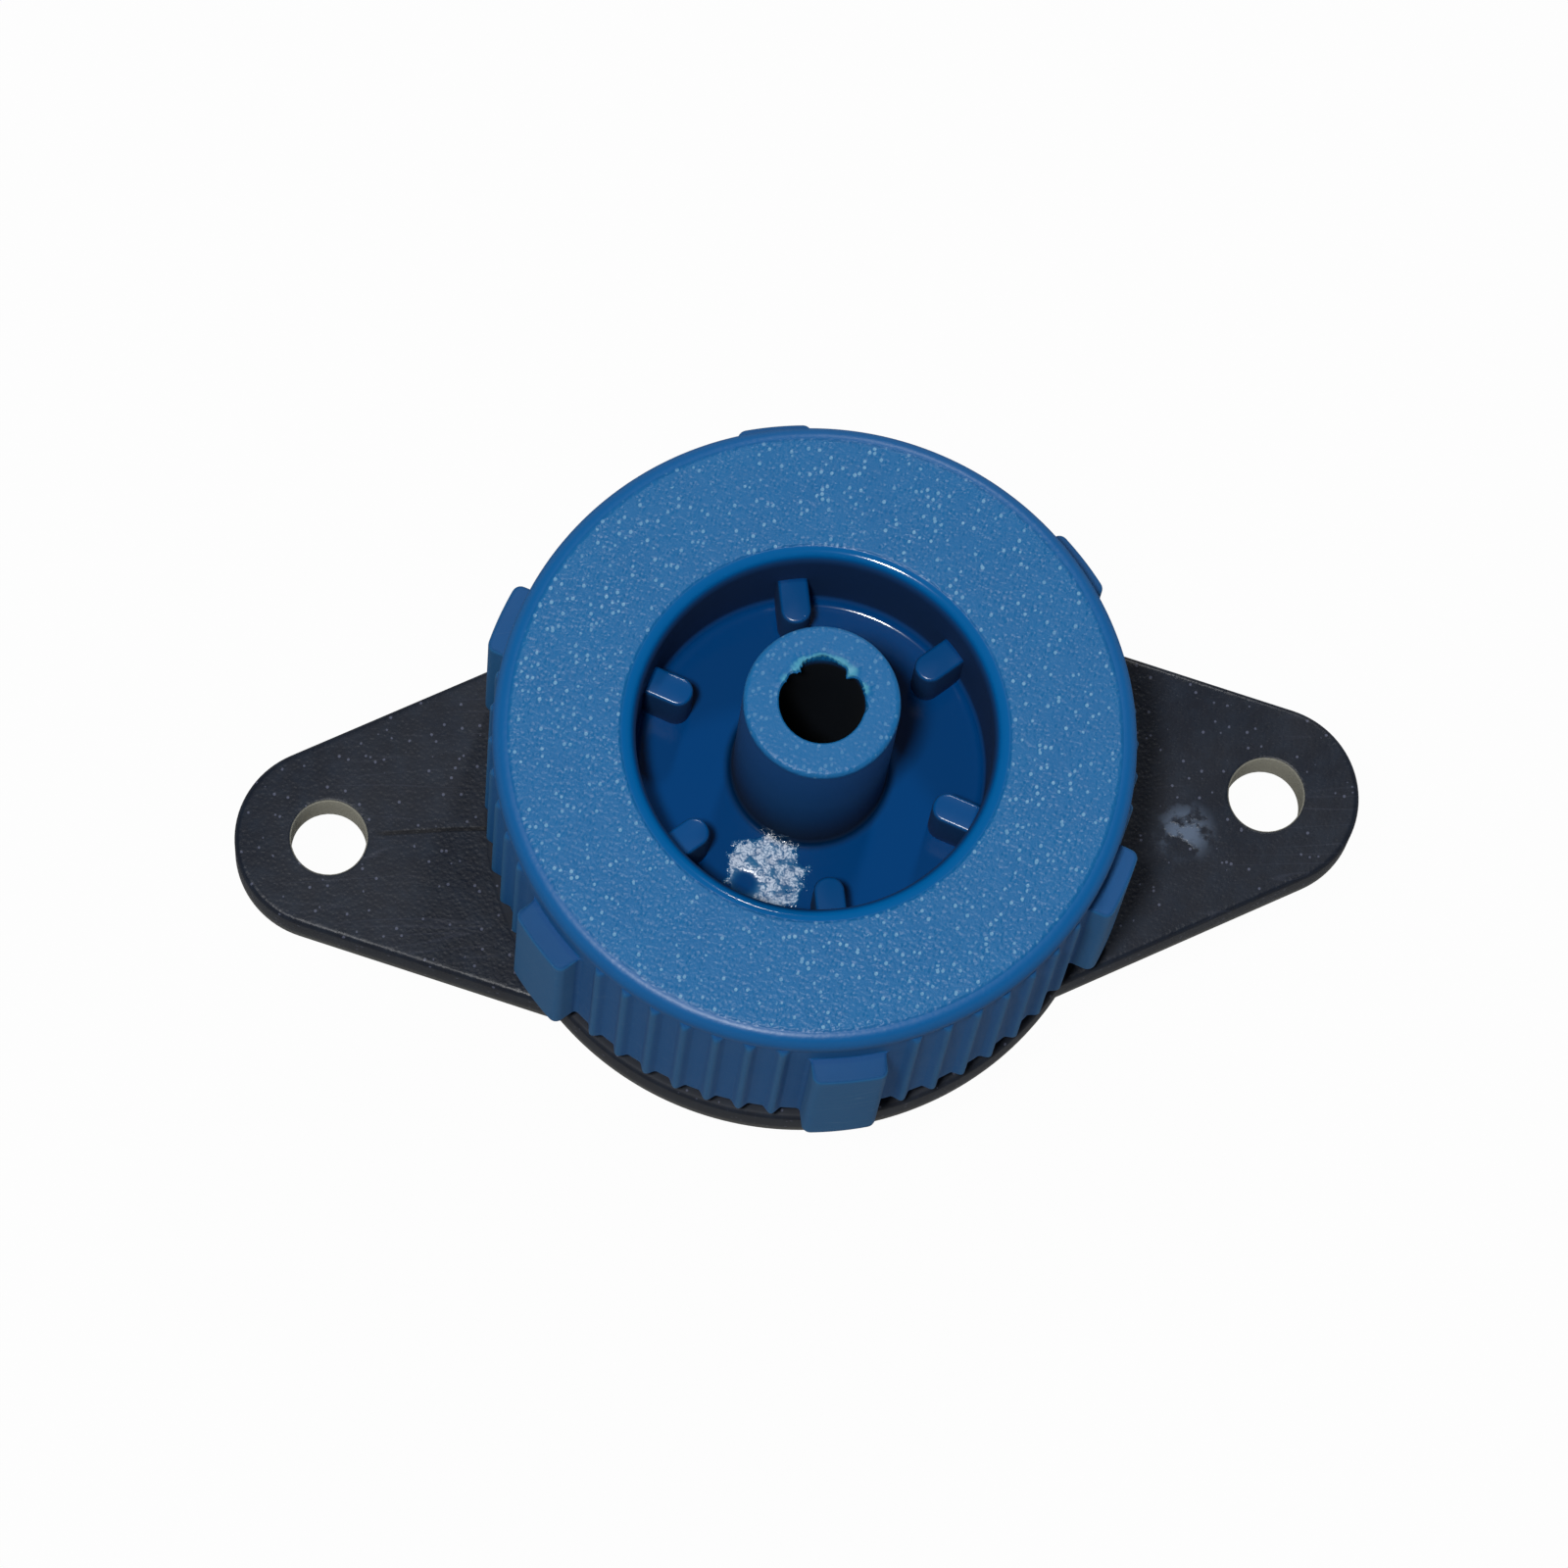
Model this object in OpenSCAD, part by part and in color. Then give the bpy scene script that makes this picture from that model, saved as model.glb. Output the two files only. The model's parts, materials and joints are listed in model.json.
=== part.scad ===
// Take-apart drip emitter with two fixing ears.
// A knurled screw cap with an outlet nozzle closes a round base with a barbed inlet. Inside, from the
// inlet upwards, lie a silicone diaphragm and a labyrinth disc, and a ring seal sits round the cap's plug.
// Millimetres. The origin is the centre of the flange's underside, +X runs along the ears, +Z to the outlet.

/* [Flange and ears] */
// Distance between the centres of the two ear holes
ear_hole_spacing = 25; // [21:0.5:36]
// Diameter of each ear hole
ear_hole_d = 2; // [1.4:0.1:3]
// Radius of the rounded end of each ear
ear_tip_r = 2.5; // [2:0.1:3.5]
// Angle between each straight ear edge and the line through the holes
ear_taper = 21.3; // [15:0.1:26]
// Thickness of the flange and ears
plate_t = 1.4; // [1:0.1:2.5]

/* [Barbed inlet] */
// Length of the inlet below the flange
barb_l = 8; // [6:0.5:12]
// Diameter of the inlet's stem
stem_d = 3.6; // [3.2:0.1:4.5]
// Diameter over the barb
barb_d = 5; // [4.8:0.1:7]
// Diameter of the barb's tip
barb_tip_d = 2.8; // [2.7:0.1:3.2]
// Length of the barb's tapered nose
barb_nose_l = 3; // [2:0.1:4]
// Length of the barb's straight land
barb_land_l = 0.2; // [0.1:0.1:0.5]
// Length of the slope behind the barb
barb_back_l = 0.4; // [0.1:0.1:1]
// Rounding where the stem meets the flange
stem_foot_round = 0.3; // [0.1:0.1:0.5]
// Diameter of the inlet bore
inlet_bore_d = 2; // [1:0.1:2.4]

/* [Cup and collar] */
// Height of the ribs that hold the diaphragm off the floor of the cup
standoff_h = 0.3; // [0.2:0.1:0.8]
// Width of each of those ribs
standoff_w = 0.6; // [0.4:0.1:1]
// Gap between the diaphragm's edge and the wall of its pocket
diaphragm_gap = 0.4; // [0.2:0.1:0.8]
// Width of the ledge that the labyrinth disc rests on
ledge_w = 0.7; // [0.4:0.1:1]
// Wall of the collar that carries the thread
collar_wall = 1; // [0.8:0.1:2]
// Gap between the top of the collar and the inside of the cap
collar_top_gap = 0.5; // [0.3:0.1:1]

/* [Inner pieces] */
// Thickness of the silicone diaphragm
diaphragm_t = 0.9; // [0.5:0.1:1.5]
// Thickness of the labyrinth disc
labyrinth_t = 1.8; // [1.4:0.1:3]
// Radial gap between the labyrinth disc and the bore of the collar
labyrinth_gap = 0.1; // [0.05:0.05:0.3]
// How far the diaphragm reaches past the outside of the channel
channel_margin = 0.4; // [0.3:0.1:0.6]
// Depth of the zigzag channel
channel_depth = 0.7; // [0.4:0.1:1]
// Width of the ring that the zigzag channel runs in
channel_w = 1.3; // [1:0.1:1.5]
// Number of teeth along the zigzag channel
channel_teeth = 30; // [12:2:36]
// How far a tooth reaches across the channel
tooth_reach = 0.8; // [0.6:0.05:0.9]
// Width of a tooth at its root
tooth_root_w = 0.4; // [0.2:0.05:0.5]
// Width of a tooth at its tip
tooth_tip_w = 0.1; // [0.05:0.05:0.2]
// Width of the slots that lead into and out of the channel
channel_slot_w = 0.6; // [0.4:0.1:1]
// Diameter of the chamber in the middle of the labyrinth disc
chamber_d = 3.2; // [2.4:0.1:3.6]
// Diameter of the labyrinth disc's outlet hole
labyrinth_hole_d = 1.4; // [0.8:0.1:2]
// Width of the key that stops the labyrinth disc turning
key_w = 0.8; // [0.6:0.1:1.4]
// Height of the key above the ledge
key_h = 1.2; // [0.6:0.1:1.3]
// Depth of the key, from the bore of the collar inwards
key_depth = 0.4; // [0.3:0.1:0.6]
// Clearance on each side of the key
key_clearance = 0.1; // [0.05:0.05:0.2]

/* [Cap] */
// Diameter of the round recess in the cap's face
recess_d = 9.2; // [8:0.1:14]
// Depth of the recess
recess_depth = 3.34; // [2.5:0.1:5]
// Wall between the recess and the outside of the plug
plug_wall = 0.9; // [0.7:0.1:1.5]
// Thickness of the plug below the recess
plug_floor_t = 1.8; // [1.6:0.1:3]
// Gap between the plug's underside and the labyrinth disc
plug_clearance = 0.05; // [0.02:0.01:0.2]
// Radial clearance between the plug and the bore of the collar
plug_fit = 0.1; // [0.05:0.01:0.2]
// Thickness of the cap's annular face
face_t = 1.2; // [0.8:0.1:2]
// Wall of the skirt, measured in a valley of the knurl
skirt_wall = 0.97; // [0.8:0.01:2]
// Gap between the flange and the bottom of the skirt
skirt_gap = 0.8; // [0.4:0.1:1.5]
// Rounding of the rim's outer edge
rim_round = 0.38; // [0.2:0.02:0.6]
// Height of the plain band below the rim's rounding
rim_band_h = 0.2; // [0.1:0.05:0.6]
// How far the rim stands out from the valleys of the knurl
rim_proud = 0.1; // [0.05:0.05:0.3]
// Rounding of the recess's upper edge
recess_round = 0.35; // [0.2:0.05:0.6]
// Rounding at the foot of the recess wall
recess_floor_round = 0.3; // [0.1:0.05:0.5]

/* [Knurl and lugs] */
// Number of knurl pitches round the skirt
knurl_count = 60; // [36:6:72]
// Radius of one knurl ridge
ridge_r = 0.21; // [0.15:0.01:0.28]
// How far a ridge stands out from the valleys
ridge_proud = 0.2; // [0.15:0.01:0.28]
// Angle of the first grip lug, counter-clockwise from +X
lug_angle = 33; // [3:6:57]
// Width of one grip lug
lug_w = 1.95; // [1.2:0.05:2.2]
// How far a lug stands out from the valleys of the knurl
lug_proud = 0.66; // [0.4:0.02:1]
// Distance from the cap's face down to the top of the lugs
lug_drop = 1.7; // [1:0.1:3]
// Rounding of the lugs' edges
lug_round = 0.15; // [0.05:0.05:0.3]

/* [Outlet nozzle] */
// Diameter of the nozzle
nozzle_d = 4; // [3:0.1:5]
// Height of the nozzle above the cap's face
nozzle_rise = 2.9; // [1:0.1:6]
// Diameter of the outlet bore
outlet_bore_d = 2.2; // [1.4:0.1:2.4]
// Rounding of the nozzle's tip
nozzle_tip_round = 0.15; // [0.05:0.05:0.3]
// Rounding at the foot of the nozzle
nozzle_foot_round = 0.22; // [0.1:0.02:0.3]

/* [Ribs in the recess] */
// Width of one rib
rib_w = 0.8; // [0.5:0.1:1.2]
// Distance from the recess wall to the middle of the rib's round end
rib_reach = 0.8; // [0.4:0.1:1]
// Distance from the cap's face down to the top of the ribs
rib_drop = 1.6; // [1:0.1:2.4]

/* [Screw thread] */
// Number of thread starts, with one ridge each on the collar and in the cap
thread_starts = 3; // [2:1:4]
// Axial distance between neighbouring ridges
thread_pitch = 1.5; // [1.4:0.1:2]
// Height of a thread ridge above its wall
thread_depth = 0.45; // [0.3:0.05:0.6]
// Radial clearance between a crest and the wall that it faces
thread_clearance = 0.15; // [0.1:0.05:0.3]
// Width of a ridge at its crest
crest_w = 0.45; // [0.3:0.05:0.5]
// Width of a ridge at its foot
foot_w = 1; // [0.8:0.05:1.05]
// Angle that one ridge on the collar runs through
collar_ridge_angle = 144; // [90:6:180]
// Angle that one ridge in the cap runs through
cap_ridge_angle = 120; // [60:6:150]

/* [Ring seal] */
// Diameter of the seal's section
seal_d = 0.76; // [0.6:0.02:1]
// Clearance between the seal and the walls on either side of it
seal_fit = 0.02; // [0.01:0.01:0.05]
// Clearance above and below the seal in its groove
groove_side_gap = 0.06; // [0.02:0.02:0.2]
// Height of the groove above the plug's underside
groove_rise = 0.45; // [0.3:0.05:0.8]

/* [Hidden] */
$fn = 96;

// Radii, from the recess outwards
recess_r = recess_d / 2;
plug_r = recess_r + plug_wall;
collar_bore_r = plug_r + plug_fit;
collar_r = collar_bore_r + collar_wall;
collar_crest_r = collar_r + thread_depth;
skirt_in_r = collar_crest_r + thread_clearance;
cap_crest_r = skirt_in_r - thread_depth;
valley_r = skirt_in_r + skirt_wall;
rim_r = valley_r + rim_proud;
lug_r = valley_r + lug_proud;
nozzle_r = nozzle_d / 2;
outlet_bore_r = outlet_bore_d / 2;

// Heights, from the flange upwards
ledge_z = plate_t + standoff_h + diaphragm_t;
plug_z = ledge_z + labyrinth_t + plug_clearance;
recess_floor_z = plug_z + plug_floor_t;
face_z = recess_floor_z + recess_depth;
collar_top_z = face_z - face_t - collar_top_gap;
skirt_z = plate_t + skirt_gap;
rim_low_z = face_z - rim_round - rim_band_h;
nozzle_z = face_z + nozzle_rise;

// Inner pieces
labyrinth_r = collar_bore_r - labyrinth_gap;
pocket_r = collar_bore_r - ledge_w;
diaphragm_r = pocket_r - diaphragm_gap;
channel_out_r = diaphragm_r - channel_margin;
channel_in_r = channel_out_r - channel_w;
channel_span = 318;
tooth_sink = 0.1;
slot_overlap = 0.3;
slot_in_angle = 3;
slot_out_angle = channel_span - 9;
seal_r = collar_bore_r - seal_fit - seal_d / 2;
groove_r = collar_bore_r - seal_d - 2 * seal_fit;
groove_z = plug_z + groove_rise;
groove_h = seal_d + 2 * groove_side_gap;

// Thread: the cap's ridges lie midway between the collar's
thread_lead = thread_pitch * thread_starts;
thread_sink = 0.2;
thread_step = 7.5;
thread_fade = 15;
least_height = 0.1;
thread_edge_gap = 0.15;
cap_thread_z = skirt_z + foot_w / 2 + thread_edge_gap;
collar_thread_z = cap_thread_z + thread_pitch / 2;

// Small edges
lead_in = 0.2;
overlap = 0.01;
cut_past = 1;
arc_steps = 6;
lug_count = 6;
sleeve_sink = 0.15;

// Points along an arc about [x, y], from angle a to angle b
function arc(x, y, r, a, b) =
    [for (i = [0 : arc_steps]) let (t = a + (b - a) * i / arc_steps) [x + r * cos(t), y + r * sin(t)]];

// Height of a thread ridge at an angle along it, from 0 at its ends to 1
function fade(angle, span) = min(1, angle / thread_fade, (span - angle) / thread_fade);

// One helical ridge: a trapezium swept up a screw line, sunk into its wall at the foot and
// fading into that wall at both ends. A crest_radius below wall_radius gives an inside thread.
module thread_ridge(wall_radius, crest_radius, start_z, span) {
    side = sign(crest_radius - wall_radius);
    steps = round(span / thread_step);
    foot_radius = wall_radius - side * thread_sink;
    flank = (foot_w - crest_w) / 2 / thread_depth;
    foot_half = foot_w / 2 + flank * thread_sink;
    points = [
        for (i = [0 : steps])
            let (
                angle = span * i / steps,
                top = foot_radius + (crest_radius - foot_radius) * max(least_height, fade(angle, span)),
                z = start_z + thread_lead * angle / 360
            )
            for (corner = [[foot_radius, -foot_half], [top, -crest_w / 2],
                           [top, crest_w / 2], [foot_radius, foot_half]])
                [corner[0] * cos(angle), corner[0] * sin(angle), z + corner[1]]
    ];
    sides = [
        for (i = [0 : steps - 1], k = [0 : 3])
            let (a = 4 * i + k, b = 4 * i + (k + 1) % 4)
            for (face = [[a, b, b + 4], [a, b + 4, a + 4]])
                side > 0 ? face : [face[2], face[1], face[0]]
    ];
    last = 4 * steps;
    ends = [[2, 1, 0], [3, 2, 0], [last, last + 1, last + 2], [last, last + 2, last + 3]];
    polyhedron(points, concat(sides, [for (face = ends) side > 0 ? face : [face[2], face[1], face[0]]]));
}

module thread(wall_radius, crest_radius, start_z, span) {
    for (i = [0 : thread_starts - 1])
        rotate([0, 0, i * 360 / thread_starts])
            thread_ridge(wall_radius, crest_radius, start_z, span);
}

// Outline of one ear: straight edges tangent to the round tip, running into the flange's disc
module ear_outline() {
    hole_x = ear_hole_spacing / 2;
    tangent_x = hole_x + ear_tip_r * sin(ear_taper);
    tangent_y = ear_tip_r * cos(ear_taper);
    root_x = rim_r / 2;
    root_y = tangent_y + (tangent_x - root_x) * tan(ear_taper);
    translate([hole_x, 0]) circle(r = ear_tip_r);
    polygon([[root_x, -root_y], [tangent_x, -tangent_y], [tangent_x, tangent_y], [root_x, root_y]]);
}

// Flange: the disc under the cap and the two ears
module flange() {
    linear_extrude(plate_t) {
        circle(r = rim_r);
        for (turn = [0, 180]) rotate(turn) ear_outline();
    }
}

// Barbed inlet, sunk into the flange
module inlet() {
    stem_r = stem_d / 2;
    land_z = -barb_l + barb_nose_l;
    back_z = land_z + barb_land_l;
    rotate_extrude()
        polygon(concat(
            [[0, -barb_l], [barb_tip_d / 2, -barb_l], [barb_d / 2, land_z], [barb_d / 2, back_z],
             [stem_r, back_z + barb_back_l]],
            arc(stem_r + stem_foot_round, -stem_foot_round, stem_foot_round, 180, 90),
            [[stem_r + stem_foot_round, plate_t / 2], [0, plate_t / 2]]));
}

// Wall of the cup, with a lead-in for the ring seal at its mouth
module collar() {
    rotate_extrude()
        polygon([[collar_bore_r, plate_t / 2], [collar_r, plate_t / 2], [collar_r, collar_top_z - lead_in],
                 [collar_r - lead_in, collar_top_z], [collar_bore_r + lead_in, collar_top_z],
                 [collar_bore_r, collar_top_z - lead_in]]);
}

// Ledge under the labyrinth disc, with the key that the disc's notch fits over
module ledge_and_key() {
    rotate_extrude()
        polygon([[pocket_r, plate_t / 2], [collar_bore_r + overlap, plate_t / 2],
                 [collar_bore_r + overlap, ledge_z], [pocket_r, ledge_z]]);
    intersection() {
        translate([collar_bore_r - key_depth, -key_w / 2, ledge_z - overlap])
            cube([key_depth + collar_wall / 2, key_w, key_h + overlap]);
        cylinder(r = collar_r - overlap, h = collar_top_z);
    }
}

// Ribs on the floor of the cup, which let water pass under the diaphragm
module standoffs() {
    start_r = inlet_bore_d;
    for (turn = [45 : 90 : 315])
        rotate([0, 0, turn])
            translate([start_r, -standoff_w / 2, plate_t - overlap])
                cube([diaphragm_r - start_r, standoff_w, standoff_h + overlap]);
}

module base_body() {
    color([0.13, 0.14, 0.17])
        difference() {
            union() {
                flange();
                inlet();
                collar();
                ledge_and_key();
                standoffs();
                thread(collar_r, collar_crest_r, collar_thread_z, collar_ridge_angle);
            }
            translate([0, 0, -barb_l - cut_past])
                cylinder(d = inlet_bore_d, h = barb_l + plate_t + 2 * cut_past);
            for (side = [-1, 1])
                translate([side * ear_hole_spacing / 2, 0, -cut_past])
                    cylinder(d = ear_hole_d, h = plate_t + 2 * cut_past);
        }
}

module diaphragm() {
    color([0.82, 0.8, 0.76])
        translate([0, 0, plate_t + standoff_h]) cylinder(r = diaphragm_r, h = diaphragm_t);
}

// Outline of one tooth, from its root radius to its tip radius
module tooth(root, tip) {
    polygon([[root, -tooth_root_w / 2], [tip, -tooth_tip_w / 2],
             [tip, tooth_tip_w / 2], [root, tooth_root_w / 2]]);
}

// Outline of the zigzag channel: a ring with teeth from its outer and its inner wall by turns,
// and a solid web between its two ends
module channel_outline() {
    pitch = channel_span / (channel_teeth + 1);
    web = 360 - channel_span;
    beyond = 2 * channel_out_r;
    difference() {
        circle(r = channel_out_r);
        circle(r = channel_in_r);
        for (i = [1 : channel_teeth])
            rotate(i * pitch)
                if (i % 2 == 0) tooth(channel_out_r + tooth_sink, channel_out_r - tooth_reach);
                else tooth(channel_in_r - tooth_sink, channel_in_r + tooth_reach);
        rotate(channel_span) polygon([[0, 0], [beyond, 0], [beyond, beyond * tan(web)]]);
    }
}

// Cuts in the disc's underside: the channel, the slot in from the rim, the slot out and the chamber
module channel_cuts() {
    depth = channel_depth + overlap;
    translate([0, 0, -overlap]) {
        linear_extrude(depth) channel_outline();
        rotate([0, 0, slot_in_angle])
            translate([channel_out_r - slot_overlap, 0, 0]) cube([labyrinth_r, channel_slot_w, depth]);
        rotate([0, 0, slot_out_angle]) cube([channel_in_r + slot_overlap, channel_slot_w, depth]);
        cylinder(d = chamber_d, h = depth);
    }
}

module labyrinth_disc() {
    color([0.9, 0.9, 0.88])
        translate([0, 0, ledge_z])
            difference() {
                cylinder(r = labyrinth_r, h = labyrinth_t);
                channel_cuts();
                translate([0, 0, -cut_past]) cylinder(d = labyrinth_hole_d, h = labyrinth_t + 2 * cut_past);
                // Notch over the key
                translate([collar_bore_r - key_depth - key_clearance, -key_w / 2 - key_clearance, -cut_past])
                    cube([labyrinth_r, key_w + 2 * key_clearance, labyrinth_t + 2 * cut_past]);
            }
}

module seal_ring() {
    color([0.1, 0.1, 0.1])
        translate([0, 0, groove_z + groove_h / 2])
            rotate_extrude() translate([seal_r, 0]) circle(d = seal_d, $fn = 32);
}

// The cap's round shell: nozzle, recess, rim, skirt and grooved plug in one turned profile
module cap_shell() {
    rotate_extrude()
        polygon(concat(
            [[outlet_bore_r, plug_z], [plug_r - lead_in, plug_z], [plug_r, plug_z + lead_in],
             [plug_r, groove_z], [groove_r, groove_z], [groove_r, groove_z + groove_h],
             [plug_r, groove_z + groove_h], [plug_r, face_z - face_t], [skirt_in_r, face_z - face_t],
             [skirt_in_r, skirt_z + lead_in], [skirt_in_r + lead_in, skirt_z],
             [valley_r - sleeve_sink, skirt_z], [valley_r - sleeve_sink, rim_low_z - rim_proud],
             [valley_r, rim_low_z - rim_proud], [rim_r, rim_low_z]],
            arc(rim_r - rim_round, face_z - rim_round, rim_round, 0, 90),
            arc(recess_r + recess_round, face_z - recess_round, recess_round, 90, 180),
            arc(recess_r - recess_floor_round, recess_floor_z + recess_floor_round,
                recess_floor_round, 0, -90),
            arc(nozzle_r + nozzle_foot_round, recess_floor_z + nozzle_foot_round,
                nozzle_foot_round, 270, 180),
            arc(nozzle_r - nozzle_tip_round, nozzle_z - nozzle_tip_round, nozzle_tip_round, 0, 90),
            [[outlet_bore_r, nozzle_z]]));
}

// Knurl: a thin sleeve round the skirt with a half-round ridge at every pitch, save where a lug stands
module knurl() {
    pitch = 360 / knurl_count;
    lug_pitch = 360 / lug_count;
    clear_of_lug = asin(lug_w / 2 / valley_r) + pitch / 2;
    translate([0, 0, skirt_z])
        linear_extrude(rim_low_z - skirt_z)
            difference() {
                union() {
                    circle(r = valley_r);
                    for (i = [0 : knurl_count - 1])
                        let (from_lug = abs((i * pitch + lug_pitch / 2) % lug_pitch - lug_pitch / 2))
                            if (from_lug > clear_of_lug)
                                rotate(lug_angle + i * pitch)
                                    translate([valley_r + ridge_proud - ridge_r, 0])
                                        circle(r = ridge_r, $fn = 24);
                }
                circle(r = valley_r - 2 * sleeve_sink);
            }
}

// Grip lugs on the skirt
module lugs() {
    top_z = face_z - lug_drop;
    intersection() {
        for (i = [0 : lug_count - 1])
            rotate([0, 0, lug_angle + i * 360 / lug_count])
                translate([0, 0, skirt_z])
                    linear_extrude(top_z - skirt_z)
                        polygon(concat(
                            [[valley_r - ridge_r, -lug_w / 2]],
                            arc(lug_r - lug_round, lug_round - lug_w / 2, lug_round, -90, 0),
                            arc(lug_r - lug_round, lug_w / 2 - lug_round, lug_round, 0, 90),
                            [[valley_r - ridge_r, lug_w / 2]]));
        rotate_extrude()
            polygon(concat(
                [[valley_r - 2 * ridge_r, skirt_z]],
                arc(lug_r - lug_round, skirt_z + lug_round, lug_round, -90, 0),
                arc(lug_r - lug_round, top_z - lug_round, lug_round, 0, 90),
                [[valley_r - 2 * ridge_r, top_z]]));
    }
}

// Ribs on the recess wall, in line with the lugs, each with a round inner end
module recess_ribs() {
    top_z = face_z - rib_drop;
    for (i = [0 : lug_count - 1])
        rotate([0, 0, lug_angle + i * 360 / lug_count])
            translate([0, 0, recess_floor_z - overlap])
                linear_extrude(top_z - recess_floor_z + overlap) {
                    translate([recess_r - rib_reach, 0]) circle(d = rib_w);
                    translate([recess_r - rib_reach, -rib_w / 2]) square([rib_reach + plug_wall / 2, rib_w]);
                }
}

module cap() {
    color([0.16, 0.42, 0.66]) {
        cap_shell();
        knurl();
        lugs();
        recess_ribs();
        thread(skirt_in_r, cap_crest_r, cap_thread_z, cap_ridge_angle);
    }
}

base_body();
diaphragm();
labyrinth_disc();
seal_ring();
cap();
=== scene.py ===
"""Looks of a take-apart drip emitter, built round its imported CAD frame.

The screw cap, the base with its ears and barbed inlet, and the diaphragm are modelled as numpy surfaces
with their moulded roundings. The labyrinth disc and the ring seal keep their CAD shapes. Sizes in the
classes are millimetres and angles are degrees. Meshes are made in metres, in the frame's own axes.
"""

import json
import logging
import math
from collections.abc import Callable
from dataclasses import dataclass, field
from enum import Enum

import bmesh
import bpy
import numpy as np
from mathutils import Matrix, Vector


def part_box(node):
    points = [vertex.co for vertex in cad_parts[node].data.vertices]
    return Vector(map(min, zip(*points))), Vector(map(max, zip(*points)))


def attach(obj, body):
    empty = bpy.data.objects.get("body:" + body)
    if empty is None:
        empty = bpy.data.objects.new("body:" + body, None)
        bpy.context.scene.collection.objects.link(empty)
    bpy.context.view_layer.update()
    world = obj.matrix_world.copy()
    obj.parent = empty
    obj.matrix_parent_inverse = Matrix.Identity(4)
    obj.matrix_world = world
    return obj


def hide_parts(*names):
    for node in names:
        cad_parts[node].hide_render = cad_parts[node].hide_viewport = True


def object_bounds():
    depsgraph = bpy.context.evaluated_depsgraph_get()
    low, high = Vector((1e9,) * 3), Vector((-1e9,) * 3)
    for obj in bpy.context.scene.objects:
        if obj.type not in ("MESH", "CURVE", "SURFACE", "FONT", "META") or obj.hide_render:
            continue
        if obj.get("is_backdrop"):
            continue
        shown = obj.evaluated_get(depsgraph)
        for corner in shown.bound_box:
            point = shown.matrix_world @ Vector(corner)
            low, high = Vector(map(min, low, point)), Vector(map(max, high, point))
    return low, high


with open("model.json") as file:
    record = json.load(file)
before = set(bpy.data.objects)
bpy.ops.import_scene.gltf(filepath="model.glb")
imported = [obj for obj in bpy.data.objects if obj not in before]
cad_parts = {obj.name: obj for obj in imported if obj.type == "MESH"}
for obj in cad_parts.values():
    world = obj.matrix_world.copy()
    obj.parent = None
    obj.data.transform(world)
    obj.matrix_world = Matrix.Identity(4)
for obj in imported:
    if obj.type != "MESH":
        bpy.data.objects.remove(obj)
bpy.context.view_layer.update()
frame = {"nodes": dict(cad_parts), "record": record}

MM = 0.001
LOG = logging.getLogger("drip_emitter")
Colour = tuple[float, float, float]
Place = tuple[float, float, float]
Spot = tuple[float, float]
Socket = bpy.types.NodeSocket


class Facing(Enum):
    """Side of its wall that a thread ridge stands on."""

    OUTWARD = 1
    INWARD = -1


class Ear(Enum):
    """Ear of the base, by the side of the cap that it points to."""

    RIGHT = 1
    LEFT = -1


# --------------------------------------------------------------------------------------------- sizes


def node_box(node: str) -> tuple[np.ndarray, np.ndarray]:
    """Lowest and highest corner of a CAD node.

    Args:
        node: Name of the node.

    Returns:
        The two corners in millimetres.
    """
    low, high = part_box(node)
    return np.array(low) / MM, np.array(high) / MM


def mount(name: str) -> dict:
    """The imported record's mount of that name."""
    return next(m for m in frame["record"]["mounts"] if m["name"] == name)


# ------------------------------------------------------------------------------------------ surfaces


def on_circle(angle: np.ndarray) -> np.ndarray:
    """Points of the unit circle at angles in radians."""
    return np.stack([np.cos(angle), np.sin(angle)], axis=1)


def arc(centre: Spot, radius: float, start: float, end: float, steps: int = 6) -> np.ndarray:
    """Points along an arc: the centre plus the radius times the cosine and sine of an even run of angles.

    Args:
        centre: Centre of the arc.
        radius: Radius of the arc.
        start: First angle.
        end: Last angle.
        steps: Number of chords.

    Returns:
        Array of steps + 1 points with two columns.
    """
    angle = np.radians(np.linspace(start, end, steps + 1))
    return np.array(centre) + radius * on_circle(angle)


def polar(radius: np.ndarray, angle: np.ndarray, height: np.ndarray) -> np.ndarray:
    """Points from cylindrical coordinates, whose arrays broadcast together; the angle is in radians."""
    radius, angle, height = np.broadcast_arrays(radius, angle, height)
    return np.stack([radius * np.cos(angle), radius * np.sin(angle), height], axis=-1)


def turned(profile: np.ndarray, angle: np.ndarray) -> np.ndarray:
    """Rings of a profile of radius and height, turned about Z to each angle in radians."""
    return polar(profile[:, :1], angle, profile[:, 1:])


def lifted(flat: np.ndarray, height: float) -> np.ndarray:
    """Points of two columns, with one height as their third."""
    return np.column_stack([flat, np.full(len(flat), height)])


def smooth_step(low: float, high: float, value: np.ndarray) -> np.ndarray:
    """0 below low, 1 above high, and three times the square less twice the cube of the share between."""
    share = np.clip((value - low) / (high - low), 0.0, 1.0)
    return share * share * (3.0 - 2.0 * share)


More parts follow.
